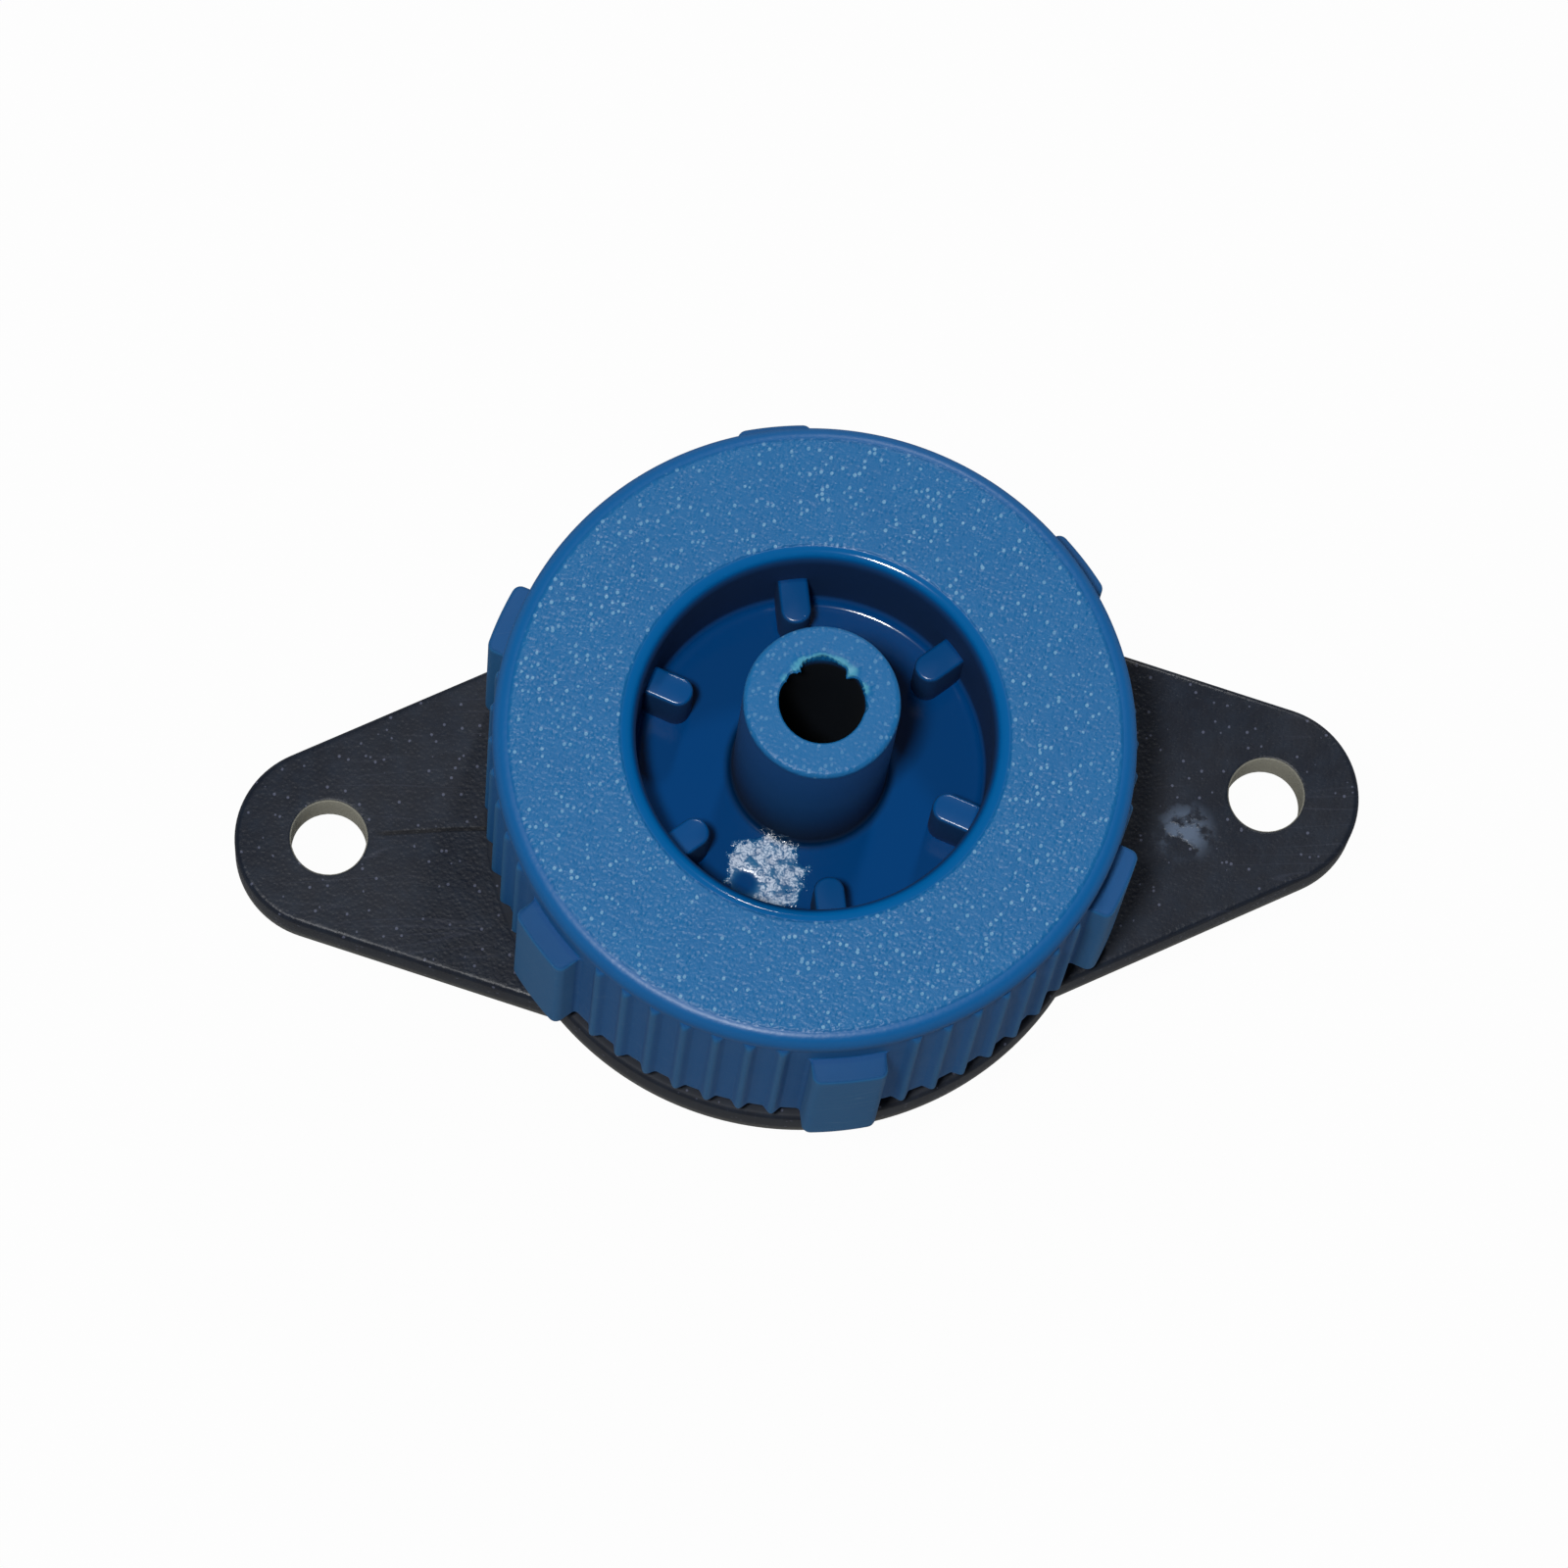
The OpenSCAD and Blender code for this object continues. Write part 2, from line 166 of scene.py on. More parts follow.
@dataclass
class Surface:
    """Points and faces of a piece, gathered grid by grid and closed when the mesh is made."""

    points: list[np.ndarray] = field(default_factory=list)
    faces: list[np.ndarray] = field(default_factory=list)
    size: int = 0

    def add(self, points: np.ndarray) -> np.ndarray:
        """Adds points.

        Args:
            points: Array of any grid shape whose last axis holds x, y and z.

        Returns:
            The points' numbers, in the same grid shape.
        """
        flat = points.reshape(-1, 3)
        numbers = self.size + np.arange(len(flat)).reshape(points.shape[:-1])
        self.points.append(flat)
        self.size += len(flat)
        return numbers

    def grid(self, points: np.ndarray, closed: bool = True) -> np.ndarray:
        """Adds a grid of points with a face between each four neighbours.

        Args:
            points: Array of rows, columns and coordinates.
            closed: Whether the last column joins the first.

        Returns:
            The points' numbers.
        """
        numbers = self.add(points)
        joined = np.concatenate([numbers, numbers[:, :1]], axis=1) if closed else numbers
        corners = joined[:-1, :-1], joined[:-1, 1:], joined[1:, 1:], joined[1:, :-1]
        self.faces.append(np.stack(corners, axis=-1).reshape(-1, 4))
        return numbers

    def solid(self, rings: np.ndarray) -> None:
        """Adds rings of points as a closed solid, with a lid on the first and the last."""
        numbers = self.grid(rings)
        self.lid(numbers[0], rings[0].mean(axis=0))
        self.lid(numbers[-1], rings[-1].mean(axis=0))

    def thin_out(self, fine: np.ndarray, coarse: np.ndarray) -> None:
        """Joins a ring to one with a third of its points by four triangles to each coarse chord."""
        start, first, second = fine[0::3], fine[1::3], fine[2::3]
        last, here, there = np.roll(start, -1), coarse, np.roll(coarse, -1)
        triangles = [(here, start, first), (here, first, there), (first, second, there),
                     (second, last, there)]
        self.faces.extend(np.stack(corners, axis=-1) for corners in triangles)

    def lid(self, ring: np.ndarray, centre: np.ndarray) -> None:
        """Closes a ring of point numbers with triangles to a new point at its centre."""
        hub = np.full(len(ring), self.add(centre.reshape(1, 3))[0])
        self.faces.append(np.stack([ring, np.roll(ring, -1), hub], axis=-1))

    def object(self, name: str, sharp: float = 40.0) -> bpy.types.Object:
        """Makes the piece: merges doubled points, turns the faces outwards and shades them smooth.

        Args:
            name: Name of the object.
            sharp: Angle past which an edge stays sharp.

        Returns:
            The new object, at the origin.
        """
        mesh = bpy.data.meshes.new(name)
        points = np.concatenate(self.points) * MM
        faces = [face for block in self.faces for face in block.tolist()]
        mesh.from_pydata(points.tolist(), [], faces)
        work = bmesh.new()
        work.from_mesh(mesh)
        bmesh.ops.remove_doubles(work, verts=work.verts, dist=0.0005 * MM)
        bmesh.ops.dissolve_degenerate(work, edges=work.edges, dist=0.0002 * MM)
        bmesh.ops.recalc_face_normals(work, faces=work.faces)
        work.to_mesh(mesh)
        work.free()
        mesh.polygons.foreach_set("use_smooth", np.ones(len(mesh.polygons), dtype=bool))
        mesh.set_sharp_from_angle(angle=math.radians(sharp))
        piece = bpy.data.objects.new(name, mesh)
        bpy.context.scene.collection.objects.link(piece)
        return piece


Outline = Callable[[float], np.ndarray]


def rounded_block(half_x: float, half_y: float, corner: float) -> Outline:
    """Outline of a rectangle with round corners, centred on the origin.

    Args:
        half_x: Half its length.
        half_y: Half its width.
        corner: Radius of its corners.

    Returns:
        A function from an inset to the outline's points, each moved inwards by the inset.
    """

    def outline(inset: float) -> np.ndarray:
        radius = max(corner - inset, 0.01)
        x, y = half_x - inset - radius, half_y - inset - radius
        corners = [((x, -y), -90), ((x, y), 0), ((-x, y), 90), ((-x, -y), 180)]
        return np.concatenate([arc(centre, radius, start, start + 90) for centre, start in corners])

    return outline


@dataclass(frozen=True)
class Prism:
    """Upright solid of one outline with rounded upper and lower edges."""

    outline: Outline
    low: float
    high: float
    edge: float
    place: Spot = (0.0, 0.0)
    turn: float = 0.0

    def add_to(self, surface: Surface) -> None:
        """Adds the closed solid: quarter-round insets at both ends, straight walls, and a lid on each."""
        inset_up = arc((self.edge, 0.0), self.edge, 180, 90, 4)
        rows = [(inset, self.high - self.edge + rise) for inset, rise in inset_up]
        rows = [(inset, self.low + self.high - height) for inset, height in reversed(rows)] + rows
        cosine, sine = math.cos(math.radians(self.turn)), math.sin(math.radians(self.turn))
        rotation = np.array([[cosine, sine], [-sine, cosine]])
        place = np.array(self.place)
        rings = [lifted((self.outline(inset) + place) @ rotation, height) for inset, height in rows]
        surface.solid(np.array(rings))


@dataclass(frozen=True)
class ThreadSizes:
    """Sizes that the two halves of the screw thread share."""

    depth: float = 0.45
    lead: float = 4.5
    cap_start: float = 0.65
    base_start: float = 1.4
    cap_span: float = 120.0
    base_span: float = 144.0


THREAD = ThreadSizes()


@dataclass(frozen=True)
class ThreadRidge:
    """Helical ridges of one screw thread."""

    wall: float
    low: float
    span: float
    facing: Facing
    starts: int = 3
    crest: float = 0.45
    foot: float = 1.0
    sink: float = 0.2
    fade: float = 18.0
    depth: float = THREAD.depth
    lead: float = THREAD.lead

    def add_to(self, surface: Surface) -> None:
        """Adds each ridge as a closed solid.

        The section is a trapezium with a rounded crest. Its height rises from nothing to the full depth
        over the fade angle at both ends, and it climbs by the lead in each turn.
        """
        angle = np.linspace(0.0, self.span, 73)
        rise = np.minimum(smooth_step(0, self.fade, angle), smooth_step(0, self.fade, self.span - angle))
        width = np.array([-self.foot * 0.62, -self.foot / 2, -self.crest / 2, -self.crest / 4,
                          self.crest / 4, self.crest / 2, self.foot / 2, self.foot * 0.62])
        half = np.array([-self.sink, 0.0, self.depth * 0.92, self.depth])
        depth = np.concatenate([half, half[::-1]])
        out = np.where(depth > 0, depth * rise[:, None] - 0.01 * (1 - rise[:, None]), depth)
        height = self.low + self.lead * angle[:, None] / 360.0 + width * (0.6 + 0.4 * rise[:, None])
        for start in range(self.starts):
            turn = np.radians(angle[:, None] + 360.0 * start / self.starts)
            surface.solid(polar(self.wall + self.facing.value * out, turn, height))


# --------------------------------------------------------------------------------------- node graphs


class Graph:
    """Adds nodes to one tree and joins them."""

    def __init__(self, tree: bpy.types.NodeTree) -> None:
        """Starts on an empty or ready-made tree."""
        self.tree = tree

    def node(self, kind: str, inputs: dict | None = None, **settings) -> bpy.types.Node:
        """Adds a node.

        Args:
            kind: Blender's name of the node type.
            inputs: Values or output sockets by the input's name or number.
            **settings: Properties of the node.

        Returns:
            The new node.
        """
        made = self.tree.nodes.new(kind)
        made.location = (200.0 * len(self.tree.nodes), 0.0)
        for name, value in settings.items():
            setattr(made, name, value)
        for name, value in (inputs or {}).items():
            if isinstance(value, Socket):
                self.tree.links.new(value, made.inputs[name])
            else:
                made.inputs[name].default_value = value
        return made

    def math(self, operation: str, *values) -> Socket:
        """Result of a Math node on one to three values."""
        return self.node("ShaderNodeMath", dict(enumerate(values)), operation=operation).outputs[0]

    def product(self, first: Socket, *others) -> Socket:
        """Product of a value and one or more others."""
        for other in others:
            first = self.math("MULTIPLY", first, other)
        return first

    def inverse(self, mask: Socket) -> Socket:
        """1 less a mask."""
        return self.math("SUBTRACT", 1.0, mask)

    def ramp(self, value, low: float, high: float, start: float = 0.0, end: float = 1.0) -> Socket:
        """Value carried smoothly from start, where it is low, to end, where it is high."""
        inputs = {"Value": value, "From Min": low, "From Max": high, "To Min": start, "To Max": end}
        return self.node("ShaderNodeMapRange", inputs, interpolation_type="SMOOTHSTEP").outputs[0]

    def rise(self, value: Socket, low: float, high: float) -> Socket:
        """Mask that climbs from 0 at the low place to 1 at the high one, both in millimetres."""
        return self.ramp(value, low * MM, high * MM)

    def fall(self, value: Socket, low: float, high: float) -> Socket:
        """Mask that drops from 1 at the low place to 0 at the high one, both in millimetres."""
        return self.ramp(value, low * MM, high * MM, 1.0, 0.0)

    def blend(self, share, first, second) -> Socket:
        """Number that is the first value where the share is 0 and the second where it is 1."""
        return self.node("ShaderNodeMix", {0: share, 2: first, 3: second}).outputs[0]

    def tint(self, share, first, second) -> Socket:
        """Colour that is the first where the share is 0 and the second where it is 1."""
        first, second = [(*c, 1.0) if isinstance(c, tuple) else c for c in (first, second)]
        return self.node("ShaderNodeMix", {0: share, 6: first, 7: second}, data_type="RGBA").outputs[2]

    def noise(self, place, scale, detail: float = 2.0, roughness: float = 0.5) -> Socket:
        """Noise from 0 to 1 at a number of cells to the metre."""
        inputs = {"Vector": place, "Scale": scale, "Detail": detail, "Roughness": roughness}
        return self.node("ShaderNodeTexNoise", inputs).outputs[0]


def new_group(name: str, numbers_in: dict[str, float], values_out: list[str]) -> tuple[Graph, dict, dict]:
    """Starts a shader node group that works on a place.

    Args:
        name: Name of the group.
        numbers_in: Default value of each input beside Place.
        values_out: Name of each output.

    Returns:
        The group's graph, its input sockets by name, and the group output's sockets by name.
    """
    tree = bpy.data.node_groups.new(name, "ShaderNodeTree")
    tree.interface.new_socket("Place", in_out="INPUT", socket_type="NodeSocketVector")
    for label, value in numbers_in.items():
        number = tree.interface.new_socket(label, in_out="INPUT", socket_type="NodeSocketFloat")
        number.default_value = value
    for label in values_out:
        tree.interface.new_socket(label, in_out="OUTPUT", socket_type="NodeSocketFloat")
    graph = Graph(tree)
    source, sink = graph.node("NodeGroupInput"), graph.node("NodeGroupOutput")
    return graph, {s.name: s for s in source.outputs if s.name}, {s.name: s for s in sink.inputs if s.name}


def build_spark_grain() -> bpy.types.NodeTree:
    """Group for a spark-eroded mould texture.

    Height is a mix of two noises and the craters of a cell pattern. Glint is 1 on the few cells whose
    random value passes Rarity, and 0 elsewhere.
    """
    graph, given, result = new_group("spark_grain", {"Cells": 7000.0, "Rarity": 0.9}, ["Height", "Glint"])
    cells = graph.node("ShaderNodeTexVoronoi", {"Vector": given["Place"], "Scale": given["Cells"]})
    fine = graph.noise(given["Place"], graph.product(given["Cells"], 1.3), 2.0, 0.6)
    broad = graph.noise(given["Place"], graph.product(given["Cells"], 0.4))
    crater = graph.ramp(cells.outputs["Distance"], 0.1, 0.7)
    height = graph.math("MULTIPLY_ADD", fine, 0.5, graph.product(crater, 0.3))
    graph.tree.links.new(graph.math("MULTIPLY_ADD", broad, 0.4, height), result["Height"])
    chance = graph.node("ShaderNodeSeparateColor", {0: cells.outputs["Color"]}).outputs[0]
    picked = graph.math("GREATER_THAN", chance, given["Rarity"])
    spot = graph.ramp(cells.outputs["Distance"], 0.28, 0.42, 1.0, 0.0)
    graph.tree.links.new(graph.product(picked, spot), result["Glint"])
    return graph.tree


def build_handling_wear() -> bpy.types.NodeTree:
    """Group for handling: broad smudges, and scratches as thin bands of a stretched noise."""
    graph, given, result = new_group("handling_wear", {"Smudges": 350.0, "Scratches": 500.0},
                                     ["Smudge", "Scratch"])
    broad = graph.noise(given["Place"], given["Smudges"], 4.0, 0.6)
    graph.tree.links.new(graph.ramp(broad, 0.35, 0.7), result["Smudge"])
    stretched = graph.node("ShaderNodeMapping", {"Vector": given["Place"], "Rotation": (0.4, 0.9, 0.6),
                                                 "Scale": (1.0, 16.0, 16.0)}).outputs[0]
    streak = graph.noise(stretched, given["Scratches"], 1.0, 0.4)
    band = graph.math("ABSOLUTE", graph.math("SUBTRACT", streak, 0.5))
    patches = graph.ramp(graph.noise(given["Place"], given["Smudges"]), 0.5, 0.65)
    line = graph.ramp(band, 0.004, 0.016, 1.0, 0.0)
    graph.tree.links.new(graph.product(line, patches), result["Scratch"])
    return graph.tree


@dataclass
class Workshop:
    """The shared node groups."""

    grain: bpy.types.NodeTree = field(default_factory=build_spark_grain)
    wear: bpy.types.NodeTree = field(default_factory=build_handling_wear)


class MaterialGraph(Graph):
    """A material's tree with its shader, and the object's own coordinates ready to use."""

    def __init__(self, name: str, shop: Workshop) -> None:
        """Starts a material with one Principled shader.

        Args:
            name: Name of the material.
            shop: The shared node groups.
        """
        self.material = bpy.data.materials.new(name)
        self.material.use_nodes = True
        super().__init__(self.material.node_tree)
        self.shop = shop
        self.shader = next(n for n in self.tree.nodes if n.type == "BSDF_PRINCIPLED")
        coordinates = self.node("ShaderNodeTexCoord")
        self.place, facing = coordinates.outputs["Object"], coordinates.outputs["Normal"]
        level = self.math("ABSOLUTE", self.node("ShaderNodeSeparateXYZ", {0: facing}).outputs[2])
        self.upright = self.ramp(level, 0.45, 0.85, 1.0, 0.0)
        self.x, self.y, self.z = self.node("ShaderNodeSeparateXYZ", {0: self.place}).outputs
        self.radius = self.length(self.x, self.y)

    def group(self, tree: bpy.types.NodeTree, **numbers: float) -> list[Socket]:
        """Adds a shared group at the object's own coordinates, and gives its outputs in order."""
        return list(self.node("ShaderNodeGroup", {"Place": self.place, **numbers}, node_tree=tree).outputs)

    def grain(self, cells: float, rarity: float = 0.9) -> list[Socket]:
        """Height and glint of a spark-eroded texture at that many cells to the metre."""
        return self.group(self.shop.grain, Cells=cells, Rarity=rarity)

    def wear(self, smudges: float, scratches: float) -> list[Socket]:
        """Smudge and scratch masks at those numbers of cells to the metre."""
        return self.group(self.shop.wear, Smudges=smudges, Scratches=scratches)

    def near(self, x: float, y: float, inner: float, outer: float) -> Socket:
        """1 within the inner distance of an upright line at x and y, and 0 past the outer; millimetres."""
        away = [self.math("SUBTRACT", axis, value * MM) for axis, value in ((self.x, x), (self.y, y))]
        return self.fall(self.length(*away), inner, outer)

    def length(self, across: Socket, along: Socket) -> Socket:
        """Root of the sum of two squares."""
        return self.math("SQRT", self.math("ADD", self.product(across, across), self.product(along, along)))

    def set(self, **values) -> None:
        """Sets or joins the shader's sockets; an underscore in a name stands for a space."""
        for name, value in values.items():
            socket = self.shader.inputs[name.replace("_", " ")]
            if isinstance(value, Socket):
                self.tree.links.new(value, socket)
            else:
                socket.default_value = (*value, 1.0) if isinstance(value, tuple) else value

    def bump(self, height: Socket, depth: float) -> bpy.types.Node:
        """Feeds a relief of that depth, in millimetres, to the shader's normal."""
        relief = self.node("ShaderNodeBump", {"Height": height, "Distance": depth * MM, "Strength": 1.0})
        self.tree.links.new(relief.outputs[0], self.shader.inputs["Normal"])
        return relief

    def lean(self, share: Socket, towards: Place) -> Socket:
        """Surface normal, leaned towards a direction of the object by a share."""
        fixed = self.node("ShaderNodeVectorTransform", {0: towards}, vector_type="NORMAL",
                          convert_from="OBJECT", convert_to="WORLD").outputs[0]
        normal = self.node("ShaderNodeNewGeometry").outputs["Normal"]
        mixed = self.node("ShaderNodeMix", {0: share, 4: normal, 5: fixed}, data_type="VECTOR").outputs[1]
        return self.node("ShaderNodeVectorMath", {0: mixed}, operation="NORMALIZE").outputs[0]


# ------------------------------------------------------------------------------------------- the cap


@dataclass(frozen=True)
class CapFinish:
    """Mid-blue acetal: grained face, smooth rim, glossy recess and a duller, handled skirt, with painted
    shade and highlights.
    """

    colour: Colour = (0.003, 0.122, 0.325)
    # Colour of the smooth zones; also lightens the ribs part-way back from the painted recess shade, as
    # painted light.
    smooth: Colour = (0.0005, 0.099, 0.305)
    # Painted shade: darker blue over the whole recess and the skirt's flat tops.
    painted_shade_blue: Colour = (0.0003, 0.047, 0.18)
    dull: Colour = (0.001, 0.09, 0.27)
    # Painted shade: near black on the recess walls and rib sides, at the nozzle's foot and in the bore.
    painted_shade: Colour = (0.0005, 0.004, 0.01)
    # Painted highlight: paler tint on the lip's raised burrs.
    burred: Colour = (0.1, 0.4, 0.52)
    glint: Colour = (0.22, 0.44, 0.62)
    # Painted highlight: lighter tint on the ridge crests.
    crest: Colour = (0.02, 0.14, 0.31)
    whitened: Colour = (0.33, 0.47, 0.6)
    # Painted highlight: paler tint on the floor mark's lumps.
    patch_highlight: Colour = (0.06, 0.36, 0.62)
    face_roughness: float = 0.44
    rim_roughness: float = 0.38
    skirt_roughness: float = 0.74
    gloss_roughness: float = 0.12
    rib_roughness: float = 0.25
    patch_roughness: float = 0.33
    grain_cells: float = 7000.0
    ior: float = 1.4
    grain_depth: float = 0.052
    glint_rarity: float = 0.82
    smudge_cells: float = 260.0
    scratch_cells: float = 130.0
    mottle_cells: float = 900.0
    ragged_cells: float = 2600.0
    lump_cells: float = 3600.0
    lump_relief: float = 0.75
    flow_mark: Spot = (-1.28, -2.82)
    flow_pit: Spot = (-1.86, -3.02)
    flow_lean: Place = (-0.105, -0.256, 0.961)

    def material(self, cap: "Cap", shop: Workshop) -> bpy.types.Material:
        """Builds the material.

        Args:
            cap: The cap, whose sizes bound the zones.
            shop: The shared node groups.

        Returns:
            The material.
        """
        m = MaterialGraph("cap_plastic", shop)
        zone = CapZones(m, cap)
        height, glint = m.grain(self.grain_cells, self.glint_rarity)
        smudge, scratch = m.wear(self.smudge_cells, self.scratch_cells)
        ragged = m.noise(m.place, self.ragged_cells, 3.0, 0.6)
        lumps = m.noise(m.place, self.lump_cells)
        patch = self.flow_patch(m, zone, ragged)
        body = self.colour_and_painted_light(m, zone, glint)
        handled = m.product(scratch, m.math("MAXIMUM", zone.lug, m.product(zone.skirt, 0.4)))
        body = m.tint(m.product(handled, 0.09), body, self.whitened)
        # Painted highlight on the floor mark's lumps.
        body = m.tint(m.product(patch, lumps, 0.45), body, self.patch_highlight)
        m.set(Base_Color=self.shaded_colour(m, zone, body), IOR=self.ior)
        rough = m.blend(zone.inside, self.rim_roughness, self.gloss_roughness)
        rough = m.blend(zone.ribs, rough, self.rib_roughness)
        rough = m.blend(m.math("MAXIMUM", zone.skirt, m.upright), rough, self.skirt_roughness)
        rough = m.blend(zone.grained, rough, self.face_roughness)
        rough = m.blend(patch, rough, self.patch_roughness)
        m.set(Roughness=m.math("MULTIPLY_ADD", m.math("SUBTRACT", smudge, 0.5), 0.05, rough))
        grain_share = m.product(zone.grained, m.blend(zone.tip, 1.0, 0.5))
        share = m.math("MAXIMUM", grain_share, m.blend(zone.recess, 0.1, 0.01))
        relief = m.math("MULTIPLY_ADD", m.product(lumps, patch), self.lump_relief, m.product(height, share))
        leaned = m.lean(m.product(patch, m.ramp(ragged, 0.25, 0.6)), self.flow_lean)
        m.tree.links.new(leaned, m.bump(relief, self.grain_depth).inputs["Normal"])
        return m.material

    def flow_patch(self, m: MaterialGraph, zone: "CapZones", ragged: Socket) -> Socket:
        """Mask of the lumpy mark on the recess floor, which also gets a painted highlight: a ragged disc
        with a bare pit in it.
        """
        floor = m.math("SUBTRACT", zone.recess, zone.above_floor)
        patch = m.product(m.near(*self.flow_mark, 0.4, 1.6), floor)
        patch = m.ramp(m.math("MULTIPLY_ADD", ragged, 1.5, patch), 1.1, 1.36)
        return m.product(patch, m.inverse(m.near(*self.flow_pit, 0.15, 0.5)))

    def colour_and_painted_light(self, m: MaterialGraph, zone: "CapZones", glint: Socket) -> Socket:
        """Colour by zone, with mottling, painted shade over the recess and the lug tops, a painted highlight
        on the ridge crests, and the grain's painted glints.
        """
        mottle = m.noise(m.place, self.mottle_cells, 4.0, 0.6)
        body = m.tint(m.inverse(zone.grained), self.colour, self.smooth)
        body = m.tint(m.product(zone.skirt, 0.6), body, self.dull)
        # Painted highlight on the ridge crests.
        body = m.tint(m.product(zone.proud, zone.on_skirt, 0.6), body, self.crest)
        # Painted shade on the skirt's flat tops, mostly the lug tops.
        body = m.tint(m.product(zone.skirt, m.inverse(m.upright), 0.7), body, self.painted_shade_blue)
        # Painted shade over the whole recess.
        body = m.tint(m.product(zone.recess, zone.in_recess), body, self.painted_shade_blue)
        clouds = m.product(m.ramp(mottle, 0.3, 0.75), m.blend(zone.recess, 0.2, 0.0))
        body = m.tint(clouds, body, self.dull)
        shares = m.blend(zone.tip, 0.52, 0.22), m.math("MULTIPLY_ADD", mottle, 1.7, 0.1)
        fine = m.product(zone.grained, *shares)
        return m.tint(m.product(glint, fine), body, self.glint)

    def shaded_colour(self, m: MaterialGraph, zone: "CapZones", body: Socket) -> Socket:
        """Adds painted light to the colour: the ribs lighter than the painted recess shade, painted shade on
        the recess walls, the nozzle's foot and the bore, and a painted highlight on the torn lip's burrs.
        """
        # Painted light: the ribs get part of the lighter smooth blue back over the painted recess shade.
        body = m.tint(m.product(zone.ribs, 0.3), body, self.smooth)
        # Painted shade on the recess walls and rib sides, then near black at the nozzle's foot.
        painted_side_shade = m.product(zone.recess, zone.above_floor, zone.off_nozzle, m.upright)
        body = m.tint(m.product(painted_side_shade, 0.4), body, self.painted_shade)
        body = m.tint(zone.nozzle_foot, body, self.painted_shade)
        # Painted highlight on the lip's burrs.
        body = m.tint(m.product(zone.burr, 0.65), body, self.burred)
        # Painted shade inside the bore.
        return m.tint(zone.bore, body, self.painted_shade)


class CapZones:
    """Masks of the cap's zones, each 1 inside its zone and 0 outside, by radius and height."""

    def __init__(self, m: MaterialGraph, cap: "Cap") -> None:
        """Works the masks out from the cap's sizes.

        Args:
            m: The material's graph.
            cap: The cap.
        """
        past_mouth = m.rise(m.radius, cap.mouth_r + 0.02, cap.mouth_r + 0.12)
        before_rim = m.fall(m.radius, cap.face_edge_r - 0.1, cap.face_edge_r + 0.04)
        face = m.product(m.rise(m.z, cap.face_z - 0.06, cap.face_z - 0.01), past_mouth, before_rim)
        self.tip = m.rise(m.z, cap.nozzle_z - 0.3, cap.nozzle_z - 0.02)
        self.grained = m.math("MAXIMUM", face, self.tip)
        self.inside = m.fall(m.radius, cap.mouth_r - 0.05, cap.mouth_r + 0.08)
        self.recess = m.product(self.inside, m.inverse(self.tip))
        self.in_recess = m.fall(m.radius, cap.recess_r + 0.02, cap.recess_r + 0.2)
        self.above_floor = m.rise(m.z, cap.floor_z + 0.15, cap.floor_z + 0.3)
        before_wall = m.fall(m.radius, cap.recess_r - 0.12, cap.recess_r - 0.04)
        self.ribs = m.product(self.recess, self.above_floor, before_wall)
        self.on_skirt = m.fall(m.z, cap.rim_low_z - 0.1, cap.rim_low_z + 0.2)
        self.skirt = m.product(m.rise(m.radius, cap.valley_r - 0.15, cap.valley_r - 0.02), self.on_skirt)
        self.proud = m.rise(m.radius, cap.valley_r + 0.1, cap.valley_r + 0.19)
        self.lug = m.rise(m.radius, cap.lug_r - 0.12, cap.lug_r - 0.02)
        self.off_nozzle = m.rise(m.radius, cap.nozzle_r + 0.1, cap.nozzle_r + 0.3)
        low_down = m.ramp(m.z, (cap.floor_z + 0.1) * MM, (cap.floor_z + 2.6) * MM, 0.8, 0.0)
        self.nozzle_foot = m.product(low_down, m.fall(m.radius, cap.nozzle_r + 0.05, cap.nozzle_r + 0.3))
        narrow = m.fall(m.radius, cap.bore_r + 0.02, cap.bore_r + 0.08)
        self.bore = m.product(narrow, m.fall(m.z, cap.nozzle_z - 0.5, cap.nozzle_z - 0.1))
        self.burr = m.rise(m.z, cap.nozzle_z + 0.015, cap.nozzle_z + 0.07)


